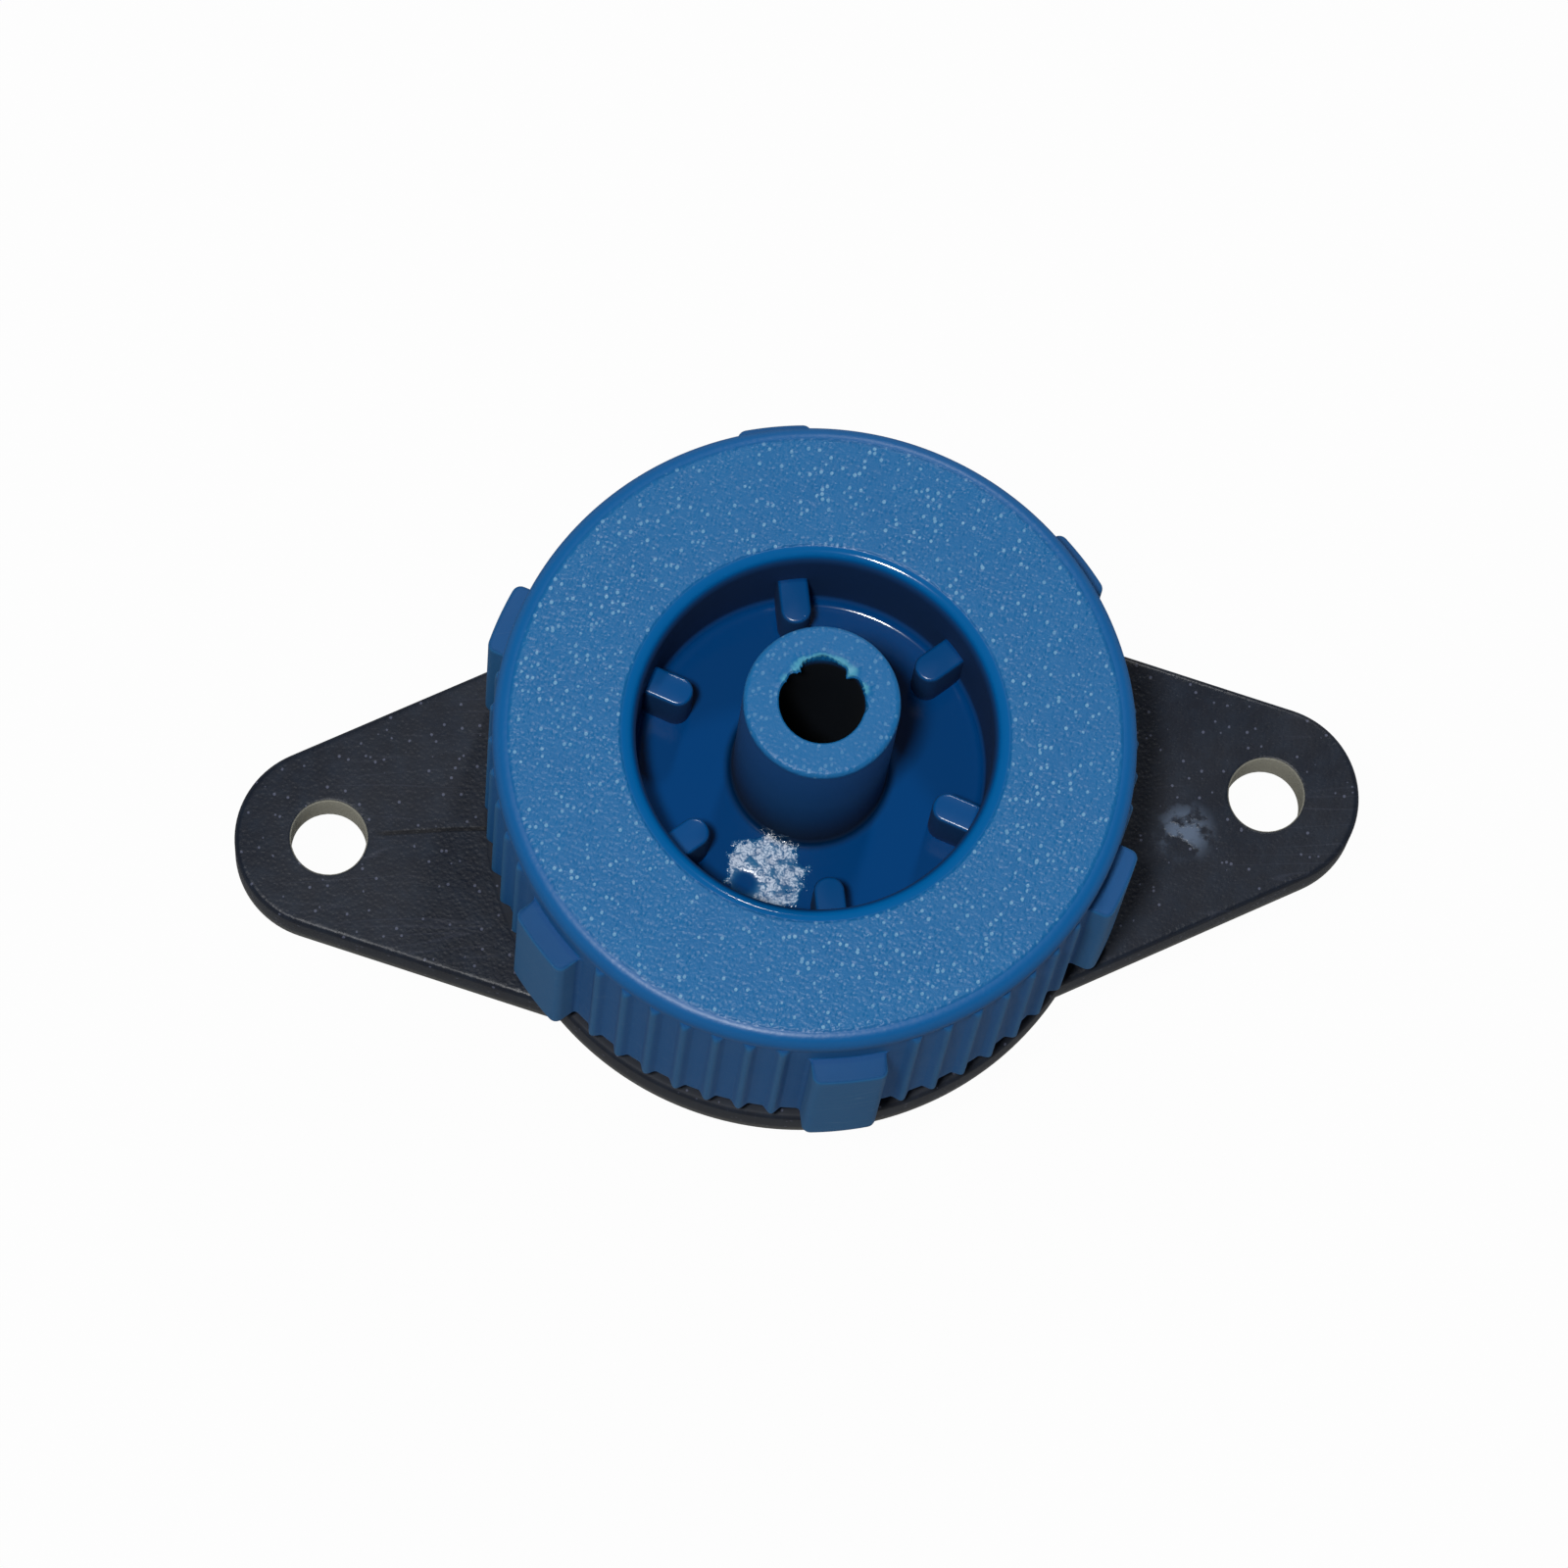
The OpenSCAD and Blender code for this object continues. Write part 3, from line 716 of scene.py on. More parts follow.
@dataclass
class Cap:
    """Knurled screw cap with grip lugs, a recess with ribs, and the outlet nozzle."""

    finish: CapFinish = CapFinish()
    lug_proud: float = 0.66
    rim_proud: float = 0.1
    skirt_wall: float = 0.97
    face_wall: float = 1.2
    rim_round: float = 0.38
    rim_band: float = 0.2
    recess_r: float = 4.6
    recess_depth: float = 3.34
    recess_round: float = 0.35
    floor_round: float = 0.3
    plug_wall: float = 0.9
    nozzle_rise: float = 2.9
    bore_r: float = 1.1
    tip_round: float = 0.15
    foot_round: float = 0.22
    lug_count: int = 6
    lug_angle: float = 33.0
    lug_w: float = 1.95
    lug_drop: float = 1.7
    lug_corner: float = 0.24
    edge_round: float = 0.12
    pitches: int = 10
    ridge_proud: float = 0.2
    ridge_half: float = 0.25
    rib_w: float = 0.8
    rib_reach: float = 0.8
    rib_drop: float = 1.6
    lead_in: float = 0.2
    groove_gap: float = 0.06
    seal_gap: float = 0.02
    disc_gap: float = 0.05
    lug_start: float = 8.6
    lug_fillet: float = 0.12
    face_loops: Spot = (7.0, 6.0)
    floor_loop: float = 3.4
    tip_loop: float = 1.5
    plug_loop: float = 3.0
    skirt_top_z: float = 7.5
    inner_round: float = 0.15

    def __post_init__(self) -> None:
        """Takes the outer sizes from the CAD node and works out the rest."""
        low, high = node_box("cap")
        seal_low, seal_high = node_box("seal_ring")
        self.lug_r = high[1]
        self.nozzle_z = high[2]
        self.skirt_z = low[2]
        self.face_z = self.nozzle_z - self.nozzle_rise
        self.lug_z = self.face_z - self.lug_drop
        self.rim_low_z = self.face_z - self.rim_round - self.rim_band
        self.floor_z = self.face_z - self.recess_depth
        self.rib_z = self.face_z - self.rib_drop
        self.plug_z = node_box("labyrinth_disc")[1][2] + self.disc_gap
        self.valley_r = self.lug_r - self.lug_proud
        self.rim_r = self.valley_r + self.rim_proud
        self.face_edge_r = self.rim_r - self.rim_round
        self.mouth_r = self.recess_r + self.recess_round
        self.skirt_in_r = self.valley_r - self.skirt_wall
        self.plug_r = self.recess_r + self.plug_wall
        self.groove_low = seal_low[2] - self.groove_gap
        self.groove_high = seal_high[2] + self.groove_gap
        self.groove_r = seal_high[0] - (seal_high[2] - seal_low[2]) - self.seal_gap
        self.nozzle_r = mount("outlet_nozzle")["dims"]["r_mm"]

    def lug_outline(self) -> np.ndarray:
        """Half outline of a lug from the valley beside it to its middle, as radius and angle.

        A concave arc leads from the valley's circle into the lug's flat side, and a convex arc leads from
        the side onto its outer face, which lies on a circle. The points' angles fall all the way to 0.
        """
        half, fillet, corner = self.lug_w / 2, self.lug_fillet, self.lug_corner
        foot_x = math.sqrt((self.valley_r + fillet) ** 2 - (half + fillet) ** 2)
        touch = math.degrees(math.atan2(half + fillet, foot_x))
        valley = arc((0.0, 0.0), self.valley_r, self.lug_start, touch, 3)[:-1]
        foot = arc((foot_x, half + fillet), fillet, 180 + touch, 270, 5)
        corner_x = math.sqrt((self.lug_r - corner) ** 2 - (half - corner) ** 2)
        lean = math.degrees(math.atan2(half - corner, corner_x))
        shoulder = arc((corner_x, half - corner), corner, 90, lean, 6)
        crown = arc((0.0, 0.0), self.lug_r, lean, 0.0, 5)[1:]
        points = np.concatenate([valley, foot, shoulder, crown])
        x, y = points.T
        return np.stack([np.hypot(x, y), np.arctan2(y, x)], axis=1)

    def skirt_section(self) -> tuple[np.ndarray, np.ndarray, np.ndarray]:
        """Columns of the skirt.

        One sector runs from a ridge, over a lug, to the next sector's first ridge. A ridge is a raised
        cosine across its own width, and each ridge has more columns than the valley beside it.

        Returns:
            The columns' angles in radians, the lugs' radius above the valley, and the ridges' radius
            above the valley.
        """
        half_lug = self.lug_outline()
        lug_angle = np.concatenate([-half_lug[:, 1], half_lug[-2::-1, 1]])
        lug_rise = np.concatenate([half_lug[:, 0], half_lug[-2::-1, 0]]) - self.valley_r
        pitch = 360.0 / (self.lug_count * self.pitches)
        width = math.degrees(self.ridge_half / self.valley_r)
        local = np.concatenate([np.linspace(-width, width, 12), [width + 0.45 * (pitch - 2 * width)]])
        centres = np.arange(2, self.pitches - 1) * pitch
        ridge_angle = np.radians((centres[:, None] + local).ravel())
        away = np.tile(np.abs(local), len(centres)) / width
        ridge_rise = self.ridge_proud * np.where(away < 1, 0.5 + 0.5 * np.cos(math.pi * away), 0.0) ** 0.8
        angle = np.concatenate([lug_angle, ridge_angle])
        lugs = np.concatenate([lug_rise, np.zeros_like(ridge_rise)])
        ridges = np.concatenate([np.zeros_like(lug_rise), ridge_rise])
        spare = -len(angle) % 3
        keep = np.linspace(angle[-1], math.radians(360.0 / self.lug_count) + lug_angle[0], spare + 2)[1:-1]
        angle = np.concatenate([angle, keep])
        lugs, ridges = [np.concatenate([rise, np.zeros(spare)]) for rise in (lugs, ridges)]
        turns = np.radians(self.lug_angle + np.arange(self.lug_count) * 360.0 / self.lug_count)
        lugs, ridges = np.tile(lugs, self.lug_count), np.tile(ridges, self.lug_count)
        return (turns[:, None] + angle).ravel(), lugs, ridges

    def outer_rows(self) -> tuple[np.ndarray, np.ndarray]:
        """The skirt and rim, from the bottom edge inside the skirt to the face.

        Each row is a height with shares of the lugs and the ridges, and an inset that rounds an edge.

        Returns:
            The rows' points, and the columns' angles.
        """
        angle, lugs, ridges = self.skirt_section()
        edge = self.edge_round
        round_up = arc((edge, 0.0), edge, 180, 90, 4)
        rows = [(self.skirt_z, 1.0, 1.0, 0.35), (self.skirt_z, 1.0, 1.0, edge)]
        rows += [(self.skirt_z + edge - rise, 1.0, 1.0, inset) for inset, rise in round_up[-2::-1]]
        rows += [(height, 1.0, 1.0, 0.0) for height in np.linspace(self.skirt_z + 0.3, self.lug_z - 0.3, 9)]
        rows += [(self.lug_z - edge + rise, 1.0, 1.0, inset) for inset, rise in round_up]
        rows += [(self.lug_z + 0.01, 0.08, 1.0, 0.0), (self.lug_z + 0.04, 0.02, 1.0, 0.0),
                 (self.lug_z + 0.1, 0.0, 1.0, 0.0)]
        fade_z = self.rim_low_z - self.rim_proud
        rows += [(height, 0.0, 1.0, 0.0) for height in np.linspace(self.lug_z + 0.2, fade_z - 0.36, 3)]
        rows += [(fade_z - 0.3 + 0.3 * math.sin(turn), 0.0, math.cos(turn), 0.0)
                 for turn in np.linspace(0.2, 1.5, 6)]
        height, lug_share, ridge_share, inset = np.array(rows).T[:, :, None]
        wall = polar(self.valley_r + lugs, angle, np.zeros(1))
        along = np.roll(wall, -1, axis=0) - np.roll(wall, 1, axis=0)
        outwards = np.cross(along, [0.0, 0.0, 1.0])
        outwards /= np.linalg.norm(outwards, axis=1, keepdims=True)
        inset = inset * np.where(height > self.lug_z - 0.5, smooth_step(0.0, 0.25, lugs), 1.0)
        skirt = polar(self.valley_r + lugs * lug_share + ridges * ridge_share, angle, height)
        skirt -= outwards * inset[..., None]
        rim = np.concatenate([
            [[self.valley_r + 0.02, fade_z + 0.02], [self.rim_r - 0.01, self.rim_low_z - 0.02],
             [self.rim_r, self.rim_low_z + 0.04], [self.rim_r, self.rim_low_z + self.rim_band]],
            arc((self.face_edge_r, self.face_z - self.rim_round), self.rim_round, 0, 90, 8)[1:],
            [[self.face_edge_r - 0.06, self.face_z], [self.face_edge_r - 0.4, self.face_z]]])
        band = turned(rim, angle)
        return np.concatenate([skirt, band]), angle

    def inner_profile(self) -> np.ndarray:
        """Radius and height from the face inwards: recess, nozzle, bore, plug with groove, and skirt."""
        nozzle_r, floor_z = self.nozzle_r, self.floor_z
        bend, bend_z = self.inner_round, self.face_z - self.face_wall - self.inner_round
        return np.concatenate([
            [[radius, self.face_z] for radius in (*self.face_loops, self.mouth_r + 0.06)],
            arc((self.mouth_r, self.face_z - self.recess_round), self.recess_round, 90, 180, 8),
            [[self.recess_r, self.face_z - 0.5], [self.recess_r, self.face_z - 1.5],
             [self.recess_r, floor_z + self.floor_round + 0.1]],
            arc((self.recess_r - self.floor_round, floor_z + self.floor_round), self.floor_round, 0, -90),
            [[self.recess_r - self.floor_round - 0.1, floor_z], [self.floor_loop, floor_z],
             [nozzle_r + self.foot_round + 0.1, floor_z]],
            arc((nozzle_r + self.foot_round, floor_z + self.foot_round), self.foot_round, 270, 180),
            [[nozzle_r, height] for height in np.linspace(floor_z + 0.4, self.nozzle_z - 0.3, 7)],
            arc((nozzle_r - self.tip_round, self.nozzle_z - self.tip_round), self.tip_round, 0, 90),
            [[nozzle_r - 0.22, self.nozzle_z], [self.tip_loop, self.nozzle_z]],
            [[self.bore_r + past, self.nozzle_z] for past in (0.22, 0.12, 0.04)],
            [[self.bore_r, self.nozzle_z - drop] for drop in (0.04, 0.12, 0.3)],
            [[self.bore_r, height] for height in np.linspace(self.nozzle_z - 1.0, self.plug_z + 0.2, 6)],
            [[self.bore_r + 0.1, self.plug_z], [self.plug_loop, self.plug_z],
             [self.plug_r - self.lead_in, self.plug_z], [self.plug_r, self.plug_z + self.lead_in],
             [self.plug_r, self.groove_low], [self.groove_r, self.groove_low],
             [self.groove_r, self.groove_high], [self.plug_r, self.groove_high], [self.plug_r, bend_z]],
            arc((self.plug_r + bend, bend_z), bend, 180, 90, 3)[1:],
            arc((self.skirt_in_r - bend, bend_z), bend, 90, 0, 3),
            [[self.skirt_in_r, height]
             for height in np.linspace(self.skirt_top_z, self.skirt_z + self.lead_in, 5)],
            [[self.skirt_in_r + self.lead_in, self.skirt_z], [self.skirt_in_r + 0.3, self.skirt_z]]])

    def flash(self, angle: np.ndarray) -> tuple[np.ndarray, np.ndarray]:
        """Ragged flash round the outlet's lip.

        Each burr is a bell over the angle from its middle. One number pulls the lip inwards by the
        sum of the bells, and a ripple of short waves on the burred half adds to both numbers.

        Args:
            angle: The columns' angles in radians.

        Returns:
            How far the lip moves inwards, and how far it stands up.
        """
        burrs = [(41.0, 7.0, 0.24, 0.1), (62.0, 12.0, 0.05, 0.1), (88.0, 14.0, -0.06, 0.12),
                 (112.0, 7.0, 0.02, 0.12), (124.0, 8.0, 0.17, 0.08), (146.0, 9.0, 0.05, 0.06),
                 (14.0, 10.0, 0.02, 0.08), (-11.0, 5.0, -0.07, 0.0)]
        inwards, upwards = np.zeros_like(angle), np.zeros_like(angle)
        for middle, width, reach, rise in burrs:
            off = (np.degrees(angle) - middle + 180.0) % 360.0 - 180.0
            bell = np.exp(-((off / width) ** 2))
            inwards += reach * bell
            upwards += rise * bell
        ripple = np.sin(23 * angle + 1.0) * np.sin(31 * angle) + 0.5 * np.sin(57 * angle)
        burred = smooth_step(0.02, 0.08, upwards)
        return inwards + 0.025 * ripple * burred, upwards + 0.02 * ripple * burred

    def build(self, shop: Workshop) -> bpy.types.Object:
        """Makes the cap's one closed shell with its ribs and thread.

        Args:
            shop: The shared node groups.

        Returns:
            The cap, which replaces its CAD node.
        """
        surface = Surface()
        outer, angle = self.outer_rows()
        fine = surface.grid(outer)
        coarse_angle = angle[::3]
        profile = self.inner_profile()
        rings = turned(profile, coarse_angle)
        inwards, upwards = self.flash(coarse_angle)
        off_lip = np.abs(profile - [self.bore_r + 0.04, self.nozzle_z]).sum(axis=1)
        lip = int(np.argmin(off_lip))
        away = on_circle(coarse_angle)
        for row, pull, push in ((-1, 0.1, 0.5), (0, 0.7, 1.0), (1, 1.0, 0.4), (2, 0.25, 0.0)):
            rings[lip + row, :, :2] -= away * (inwards * pull)[:, None]
            rings[lip + row, :, 2] += upwards * push
        coarse = surface.grid(rings)
        surface.thin_out(fine[-1], coarse[0])
        surface.thin_out(fine[0], coarse[-1])
        self.add_ribs(surface)
        thread_z = self.skirt_z + THREAD.cap_start
        ThreadRidge(self.skirt_in_r, thread_z, THREAD.cap_span, Facing.INWARD).add_to(surface)
        cap = surface.object("screw_cap")
        cap.data.materials.append(self.finish.material(self, shop))
        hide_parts("cap")
        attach(cap, "cap")
        return cap

    def add_ribs(self, surface: Surface) -> None:
        """Adds the ribs on the recess wall: blocks with a round inner end, in line with the lugs."""
        inner = self.recess_r - self.rib_reach - self.rib_w / 2
        outer = self.recess_r + self.plug_wall / 2
        outline = rounded_block((outer - inner) / 2, self.rib_w / 2, self.rib_w / 2 - 0.02)
        for i in range(self.lug_count):
            Prism(outline, self.floor_z - 0.2, self.rib_z, 0.1, ((inner + outer) / 2, 0.0),
                  self.lug_angle + i * 360.0 / self.lug_count).add_to(surface)


# ------------------------------------------------------------------------------------------ the base


@dataclass(frozen=True)
class BaseFinish:
    """Black polypropylene with painted pale glints, a weld line on one ear, a rub mark with a painted sheen
    on the other, and painted reflections on the hole walls and low on the sides.
    """

    colour: Colour = (0.006, 0.009, 0.017)
    # Painted glints of the grain, also used for the pale scratches.
    glint_and_scratch: Colour = (0.09, 0.1, 0.15)
    bloom: Colour = (0.011, 0.019, 0.034)
    seam: Colour = (0.002, 0.002, 0.003)
    # Painted reflection: olive grey on the hole walls and in a band low on the outer sides.
    edge: Colour = (0.4, 0.39, 0.32)
    # Painted sheen on the rub mark.
    rub_sheen: Colour = (0.12, 0.16, 0.23)
    roughness: float = 0.4
    side_roughness: float = 0.6
    grain_cells: float = 8500.0
    ior: float = 1.34
    grain_depth: float = 0.011
    glint_rarity: float = 0.94
    smudge_cells: float = 220.0
    scratch_cells: float = 110.0
    mottle_cells: float = 1400.0
    rub_cells: float = 2600.0
    rub_place: Spot = (10.25, -0.9)
    weld_cells: float = 500.0
    weld_wander: float = 0.12
    weld_y: float = 0.1
    edge_past_r: float = 7.0

    def material(self, base: "Base", shop: Workshop) -> bpy.types.Material:
        """Builds the material.

        Args:
            base: The base, whose sizes place the marks.
            shop: The shared node groups.

        Returns:
            The material.
        """
        m = MaterialGraph("base_plastic", shop)
        height, glint = m.grain(self.grain_cells, self.glint_rarity)
        smudge, scratch = m.wear(self.smudge_cells, self.scratch_cells)
        rub, weld = self.rub_mark(m, base), self.weld_line(m, base)
        mottle = m.noise(m.place, self.mottle_cells, 5.0, 0.65)
        body = m.tint(m.ramp(mottle, 0.35, 0.75, 0.0, 0.6), self.colour, self.bloom)
        # Painted glints of the grain.
        body = m.tint(m.product(glint, 0.8), body, self.glint_and_scratch)
        # Painted sheen on the rub mark.
        body = m.tint(m.product(rub, 0.85), body, self.rub_sheen)
        body = m.tint(m.product(scratch, 0.1), body, self.glint_and_scratch)
        body = m.tint(m.product(weld, 0.75), body, self.seam)
        # Painted reflection on the hole walls.
        holes = [m.near(side * base.hole_x, 0.0, base.hole_r, base.hole_r + 0.05) for side in (1, -1)]
        body = m.tint(m.product(m.math("MAXIMUM", *holes), 0.9), body, self.edge)
        # Painted reflection in a band low on the outer sides.
        foot = m.ramp(m.z, 0.2 * MM, 0.6 * MM, 0.2, 0.0)
        outside = m.rise(m.radius, self.edge_past_r, self.edge_past_r + 0.5)
        body = m.tint(m.product(foot, m.upright, outside), body, self.edge)
        m.set(Base_Color=body, IOR=self.ior)
        rough = m.math("MULTIPLY_ADD", m.math("SUBTRACT", smudge, 0.5), 0.12, self.roughness)
        rough = m.blend(m.upright, rough, self.side_roughness)
        rough = m.math("SUBTRACT", rough, m.product(rub, 0.15))
        under_cap = m.near(0.0, 0.0, base.disc_r, base.disc_r + 0.1)
        m.set(Roughness=m.blend(under_cap, rough, self.side_roughness))
        relief = m.product(height, m.inverse(m.product(under_cap, 0.9)))
        relief = m.math("SUBTRACT", relief, m.product(weld, 0.25))
        m.bump(m.math("ADD", relief, m.product(rub, 1.2)), self.grain_depth)
        return m.material

    def rub_mark(self, m: MaterialGraph, base: "Base") -> Socket:
        """Mask of the rub mark on the right ear's top face: a disc broken up by noise."""
        ragged = m.ramp(m.noise(m.place, self.rub_cells, 4.0), 0.42, 0.6)
        on_top = m.rise(m.z, base.plate_z - 0.3, base.plate_z - 0.1)
        return m.product(m.near(*self.rub_place, 0.15, 1.0), ragged, on_top)

    def weld_line(self, m: MaterialGraph, base: "Base") -> Socket:
        """Mask of the weld line on the left ear, which wanders about a line along X."""
        wander = m.math("MULTIPLY_ADD", m.noise(m.place, self.weld_cells, 3.0), self.weld_wander * MM, m.y)
        off_line = m.math("ABSOLUTE", m.math("SUBTRACT", wander, self.weld_y * MM))
        past_hole = m.rise(m.x, 1.1 - base.hole_x, 1.6 - base.hole_x)
        return m.product(past_hole, m.fall(m.x, -8.0, -7.0), m.fall(off_line, 0.03, 0.09))


@dataclass
class Base:
    """Flange with two ears, the barbed inlet below it, and the cup with its threaded collar above."""

    finish: BaseFinish = BaseFinish()
    taper: float = 21.3
    edge_round: float = 0.15
    hole_round: float = 0.08
    collar_wall: float = 1.0
    ledge_w: float = 0.7
    bore_r: float = 1.0
    tip_r: float = 1.4
    stem_r: float = 1.8
    barb_r: float = 2.5
    nose_l: float = 3.0
    stem_foot: float = 0.3
    lead_in: float = 0.2
    standoff_w: float = 0.6
    key_w: float = 0.8
    key_h: float = 1.2
    key_depth: float = 0.4
    disc_clearance: float = 0.1
    collar_foot: float = 0.12
    pocket_loop: float = 3.0
    disc_columns: tuple[int, int] = (26, 34)
    ear_columns: tuple[int, int] = (16, 18)

    def __post_init__(self) -> None:
        """Takes the places from the record's mounts and the CAD nodes, and works out the rest."""
        low, high = node_box("base_body")
        holes = mount("ear_holes")
        disc_low, disc_high = node_box("labyrinth_disc")
        self.hole_x = holes["dims"]["spacing_x_mm"] / 2
        self.hole_r = holes["dims"]["hole_r_mm"]
        self.plate_z = holes["pos_m"][2] / MM
        self.tip_end_r = high[0] - self.hole_x
        self.disc_r = high[1]
        self.bottom_z = low[2]
        self.collar_z = high[2]
        self.cup_r = disc_high[0] + self.disc_clearance
        self.collar_r = self.cup_r + self.collar_wall
        self.pocket_r = self.cup_r - self.ledge_w
        self.ledge_z = disc_low[2]
        self.standoff_z = node_box("diaphragm")[0][2]

    def neck(self, inset: float) -> tuple[np.ndarray, float]:
        """Where an ear's straight edge meets the disc.

        The edge is tangent to the round tip. Both are moved inwards by the inset, and the crossing is the
        root of the line's distance from the disc's centre.

        Args:
            inset: Distance that the outline is moved inwards.

        Returns:
            The crossing above the right ear's middle line, and its angle at the disc's centre.
        """
        lean, radius = math.radians(self.taper), self.disc_r - inset
        normal = np.array([math.sin(lean), math.cos(lean)])
        along = np.array([normal[1], -normal[0]])
        distance = self.hole_x * normal[0] + self.tip_end_r - inset
        point = normal * distance + along * math.sqrt(radius**2 - distance**2)
        return point, math.degrees(math.atan2(point[1], point[0]))

    def ear_edge(self, inset: float) -> np.ndarray:
        """Open outline of the right ear from its lower neck, round the tip, to its upper neck."""
        neck, _ = self.neck(inset)
        radius = self.tip_end_r - inset
        tip = arc((self.hole_x, 0.0), radius, self.taper - 90, 90 - self.taper, 2 * self.ear_columns[1])
        share = np.linspace(0.0, 1.0, self.ear_columns[0] + 1)[1:, None]
        upper = tip[-1] + (neck - tip[-1]) * share
        lower = upper[::-1] * np.array([1.0, -1.0])
        return np.concatenate([lower, tip, upper])

    def disc_angles(self, inset: float, ear: bool) -> np.ndarray:
        """Angles of the disc's columns, in degrees: those inside the right ear, or those above it."""
        _, neck = self.neck(inset)
        if ear:
            return np.linspace(-neck, neck, 2 * self.disc_columns[0] + 1)
        return np.linspace(neck, 180.0 - neck, 2 * self.disc_columns[1] + 1)

    def outline(self, inset: float) -> np.ndarray:
        """Closed outline of the flange: the right ear, the upper arc, the left ear and the lower arc."""
        ear = self.ear_edge(inset)
        angle = np.radians(self.disc_angles(inset, False))[1:-1]
        top = (self.disc_r - inset) * on_circle(angle)
        return np.concatenate([ear, top, -ear, -top])

    def ring_angles(self) -> np.ndarray:
        """Angles of the turned part's columns, which meet the outline's inset points, in radians."""
        ear = self.disc_angles(self.edge_round, True)[:-1]
        top = self.disc_angles(self.edge_round, False)[:-1]
        return np.radians(np.concatenate([ear, top, ear + 180.0, top + 180.0]))

    def turned_profile(self) -> np.ndarray:
        """Radius and height from the flange's top over the collar, into the cup and out at the barb."""
        top, foot = self.plate_z, self.collar_foot
        barb_z = self.bottom_z + self.nose_l
        shoulder_z = self.collar_z - self.lead_in
        return np.concatenate([
            [[self.disc_r - self.edge_round, top], [self.disc_r - self.edge_round - 0.08, top],
             [self.collar_r + foot + 0.1, top]],
            arc((self.collar_r + foot, top + foot), foot, 270, 180, 4),
            [[self.collar_r, height] for height in np.linspace(top + 0.4, shoulder_z - 0.1, 6)],
            arc((self.collar_r - self.lead_in, shoulder_z), self.lead_in, 0, 90, 5),
            [[self.cup_r + self.lead_in, self.collar_z], [self.cup_r + 0.03, shoulder_z],
             [self.cup_r, shoulder_z - 0.05]],
            [[self.cup_r, height] for height in np.linspace(self.collar_z - 1, self.ledge_z + 0.05, 4)],
            [[self.cup_r, self.ledge_z], [self.pocket_r + 0.05, self.ledge_z],
             [self.pocket_r, self.ledge_z - 0.05]],
            arc((self.pocket_r - 0.15, top + 0.15), 0.15, 0, -90, 4),
            [[self.pocket_loop, top], [self.bore_r + 0.15, top]],
            arc((self.bore_r + 0.1, top - 0.1), 0.1, 90, 180, 4),
            [[self.bore_r, height] for height in np.linspace(top - 0.5, self.bottom_z + 0.15, 6)],
            arc((self.bore_r + 0.07, self.bottom_z + 0.07), 0.07, 180, 270, 3),
            arc((self.tip_r - 0.12, self.bottom_z + 0.12), 0.12, 270, 340, 4),
            [[self.barb_r - 0.04, barb_z - 0.07], [self.barb_r, barb_z + 0.02], [self.barb_r, barb_z + 0.14],
             [self.barb_r - 0.05, barb_z + 0.21], [self.stem_r + 0.06, barb_z + 0.53],
             [self.stem_r, barb_z + 0.62], [self.stem_r, barb_z + 2.5],
             [self.stem_r, -self.stem_foot - 0.1]],
            arc((self.stem_r + self.stem_foot, -self.stem_foot), self.stem_foot, 180, 90),
            [[self.stem_r + self.stem_foot + 0.1, 0.0], [self.disc_r - self.edge_round - 0.08, 0.0],
             [self.disc_r - self.edge_round, 0.0]]])

    def edge_rows(self, rounding: float) -> list[tuple[float, float]]:
        """Inset and height down an edge that is rounded at the top and the bottom."""
        curve = arc((rounding, 0.0), rounding, 90, 180, 5)
        upper = [(inset, self.plate_z - rounding + rise) for inset, rise in curve]
        lower = [(inset, self.plate_z - height) for inset, height in reversed(upper)]
        return upper + lower

    def add_ear(self, surface: Surface, ear: Ear) -> None:
        """Adds an ear's two faces and its hole.

        A face is a grid from the outline to the hole's edge: each column is a straight line from an
        outline point towards the hole's centre, with rows close to both ends and even rows between.
        """
        edge, inset = self.ear_edge(self.edge_round), self.edge_round
        angle = np.radians(self.disc_angles(inset, True))[::-1][1:-1]
        inner = (self.disc_r - inset) * on_circle(angle)
        loop = np.concatenate([edge, inner])
        centre = np.array([self.hole_x, 0.0])
        ray = loop - centre
        ray = ray / np.linalg.norm(ray, axis=1, keepdims=True)
        share = np.concatenate([[0.0, 0.03], np.linspace(0.15, 0.85, 5), [0.97, 1.0]])[:, None, None]
        wide = centre + ray * (self.hole_r + self.hole_round)
        flat = loop + (wide - loop) * share
        rows = [lifted(ring, self.plate_z) for ring in flat]
        rows += [lifted(centre + ray * (self.hole_r + back), height)
                 for back, height in self.edge_rows(self.hole_round)[1:-1]]
        rows += [lifted(ring, 0.0) for ring in flat[::-1]]
        points = np.array(rows)
        points[..., :2] *= ear.value
        surface.grid(points)

    def add_inner_details(self, surface: Surface) -> None:
        """Adds the ribs under the diaphragm and the key that the labyrinth disc fits over."""
        start = 2 * self.bore_r
        reach = self.pocket_r - 0.4 - start
        rib = rounded_block(reach / 2, self.standoff_w / 2, 0.12)
        place = start + reach / 2, 0.0
        for turn in range(45, 360, 90):
            Prism(rib, self.plate_z - 0.3, self.standoff_z, 0.06, place, turn).add_to(surface)
        key = rounded_block((self.key_depth + 0.5) / 2, self.key_w / 2, 0.08)
        middle = self.cup_r - self.key_depth + (self.key_depth + 0.5) / 2
        Prism(key, self.ledge_z - 0.3, self.ledge_z + self.key_h, 0.06, (middle, 0.0)).add_to(surface)

